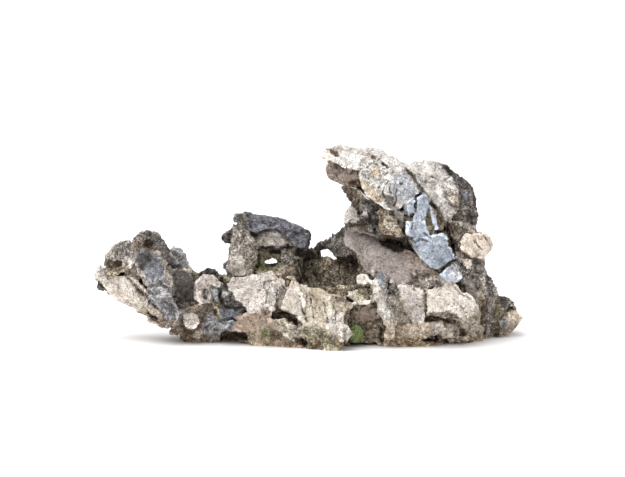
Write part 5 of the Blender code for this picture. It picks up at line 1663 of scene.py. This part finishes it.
# The moss's sizes, as shares of its pad's half width
MOSS_TUFTS = 1500
MOSS_SEED = 3
BED_RADIUS = 0.74
BED_SWELLS = ((0.22, 3.0), (0.08, 9.0))
LEAF_LENGTHS = (0.18, 0.36)
LEAF_RADII = (0.045, 0.004)
LEAF_LEAN = 0.7
LEAF_STAND = 0.4


def moss(shift):
    """A cushion of moss: a lumpy bed, and small pointed leaves all over it."""
    lump = Round(MOSS_MIDDLE, MOSS_RADII, MOSS_TURN)
    place_lump = Matrix.Translation(lump.middle + shift) @ lump.spin.to_4x4()
    place_lump = place_lump @ Matrix.Diagonal((*lump.radii, 1.0))
    shape = bmesh.new()
    bmesh.ops.create_icosphere(shape, subdivisions=5, radius=BED_RADIUS)
    for vertex in shape.verts:
        swell = 1.0
        for height, scale in BED_SWELLS:
            swell += height * noise.noise(vertex.co * scale)
        vertex.co *= swell
    chance = random.Random(MOSS_SEED)
    bed = [(vertex.co.copy(), vertex.normal.copy()) for vertex in shape.verts]
    for root, normal in chance.sample(bed, MOSS_TUFTS):
        aside = Vector([chance.uniform(-LEAF_LEAN, LEAF_LEAN) for _ in range(3)])
        lean = (normal + aside).normalized()
        length = chance.uniform(*LEAF_LENGTHS)
        leaf = bmesh.ops.create_cone(shape, cap_ends=True, segments=4, radius1=LEAF_RADII[0],
                                     radius2=LEAF_RADII[1], depth=length)
        turn = lean.to_track_quat("Z", "Y").to_matrix().to_4x4()
        stand = Matrix.Translation(root + lean * length * LEAF_STAND) @ turn
        bmesh.ops.transform(shape, matrix=stand, verts=leaf["verts"])
    for vertex in shape.verts:
        if vertex.co.length > 1.0:
            vertex.co.normalize()
    bmesh.ops.transform(shape, matrix=place_lump, verts=shape.verts)
    bmesh.ops.recalc_face_normals(shape, faces=shape.faces)
    body = modelled("moss_cushion", shape)
    wear_material(body, moss_material())
    return body


# The camera's lens and sensor in millimetres, the frame's width in metres, and its drawn middle
LENS = 800.0
SENSOR = 36.0
FRAME_WIDTH = 0.625
FRAME_MIDDLE = (2.5, 101.5)


def camera(shift):
    """A long lens at the sight angle, with the drawing's upright in the middle of its reach."""
    data = bpy.data.cameras.new("camera")
    data.lens = LENS
    data.sensor_width = SENSOR
    eye = shown("camera", data)
    distance = FRAME_WIDTH * LENS / SENSOR
    back = Vector((0.0, -math.cos(SIGHT_ANGLE), math.sin(SIGHT_ANGLE)))
    eye.location = seat(*FRAME_MIDDLE, 0.0) + shift + back * distance
    aim(eye, -back)
    data.clip_end = distance * 3.0
    bpy.context.scene.camera = eye


FLOOR_RADIUS = 9.0
FLOOR_COLOUR = (0.86, 0.86, 0.86)
ROOM_STRENGTH = 1.1
SUN_STRENGTH = 2.2
SUN_SPREAD = math.radians(50.0)
SUN_PLACE = (-0.45, -0.35, 1.0)


def studio():
    """A white floor under soft light, in a white room."""
    shape = bmesh.new()
    bmesh.ops.create_circle(shape, cap_ends=True, segments=64, radius=FLOOR_RADIUS)
    floor = modelled("floor", shape)
    wear_material(floor, plain_material("floor_white", FLOOR_COLOUR, 0.9))

    world = bpy.data.worlds.new("room")
    world.use_nodes = True
    world.node_tree.nodes["Background"].inputs["Color"].default_value = (1.0, 1.0, 1.0, 1.0)
    world.node_tree.nodes["Background"].inputs["Strength"].default_value = ROOM_STRENGTH
    bpy.context.scene.world = world

    lamp = bpy.data.lights.new("soft_light", "SUN")
    lamp.energy = SUN_STRENGTH
    lamp.angle = SUN_SPREAD
    aim(shown("soft_light", lamp), -Vector(SUN_PLACE).normalized())
    bpy.context.scene.view_settings.view_transform = "Standard"


# The part's frame is the drawing's, moved so that the moss's box in the part falls on the drawn one.
moss_low, moss_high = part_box("moss")
shift = (moss_low + moss_high) / 2 - seat(*MOSS_MIDDLE)
camera(shift)
studio()

stone = build_stone(shift)
for length in stone:
    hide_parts("stone")
    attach(length, "root")

line = vein(stone[2:], shift)
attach(line, "root")

cushion = moss(shift)
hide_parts("moss")
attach(cushion, "root")
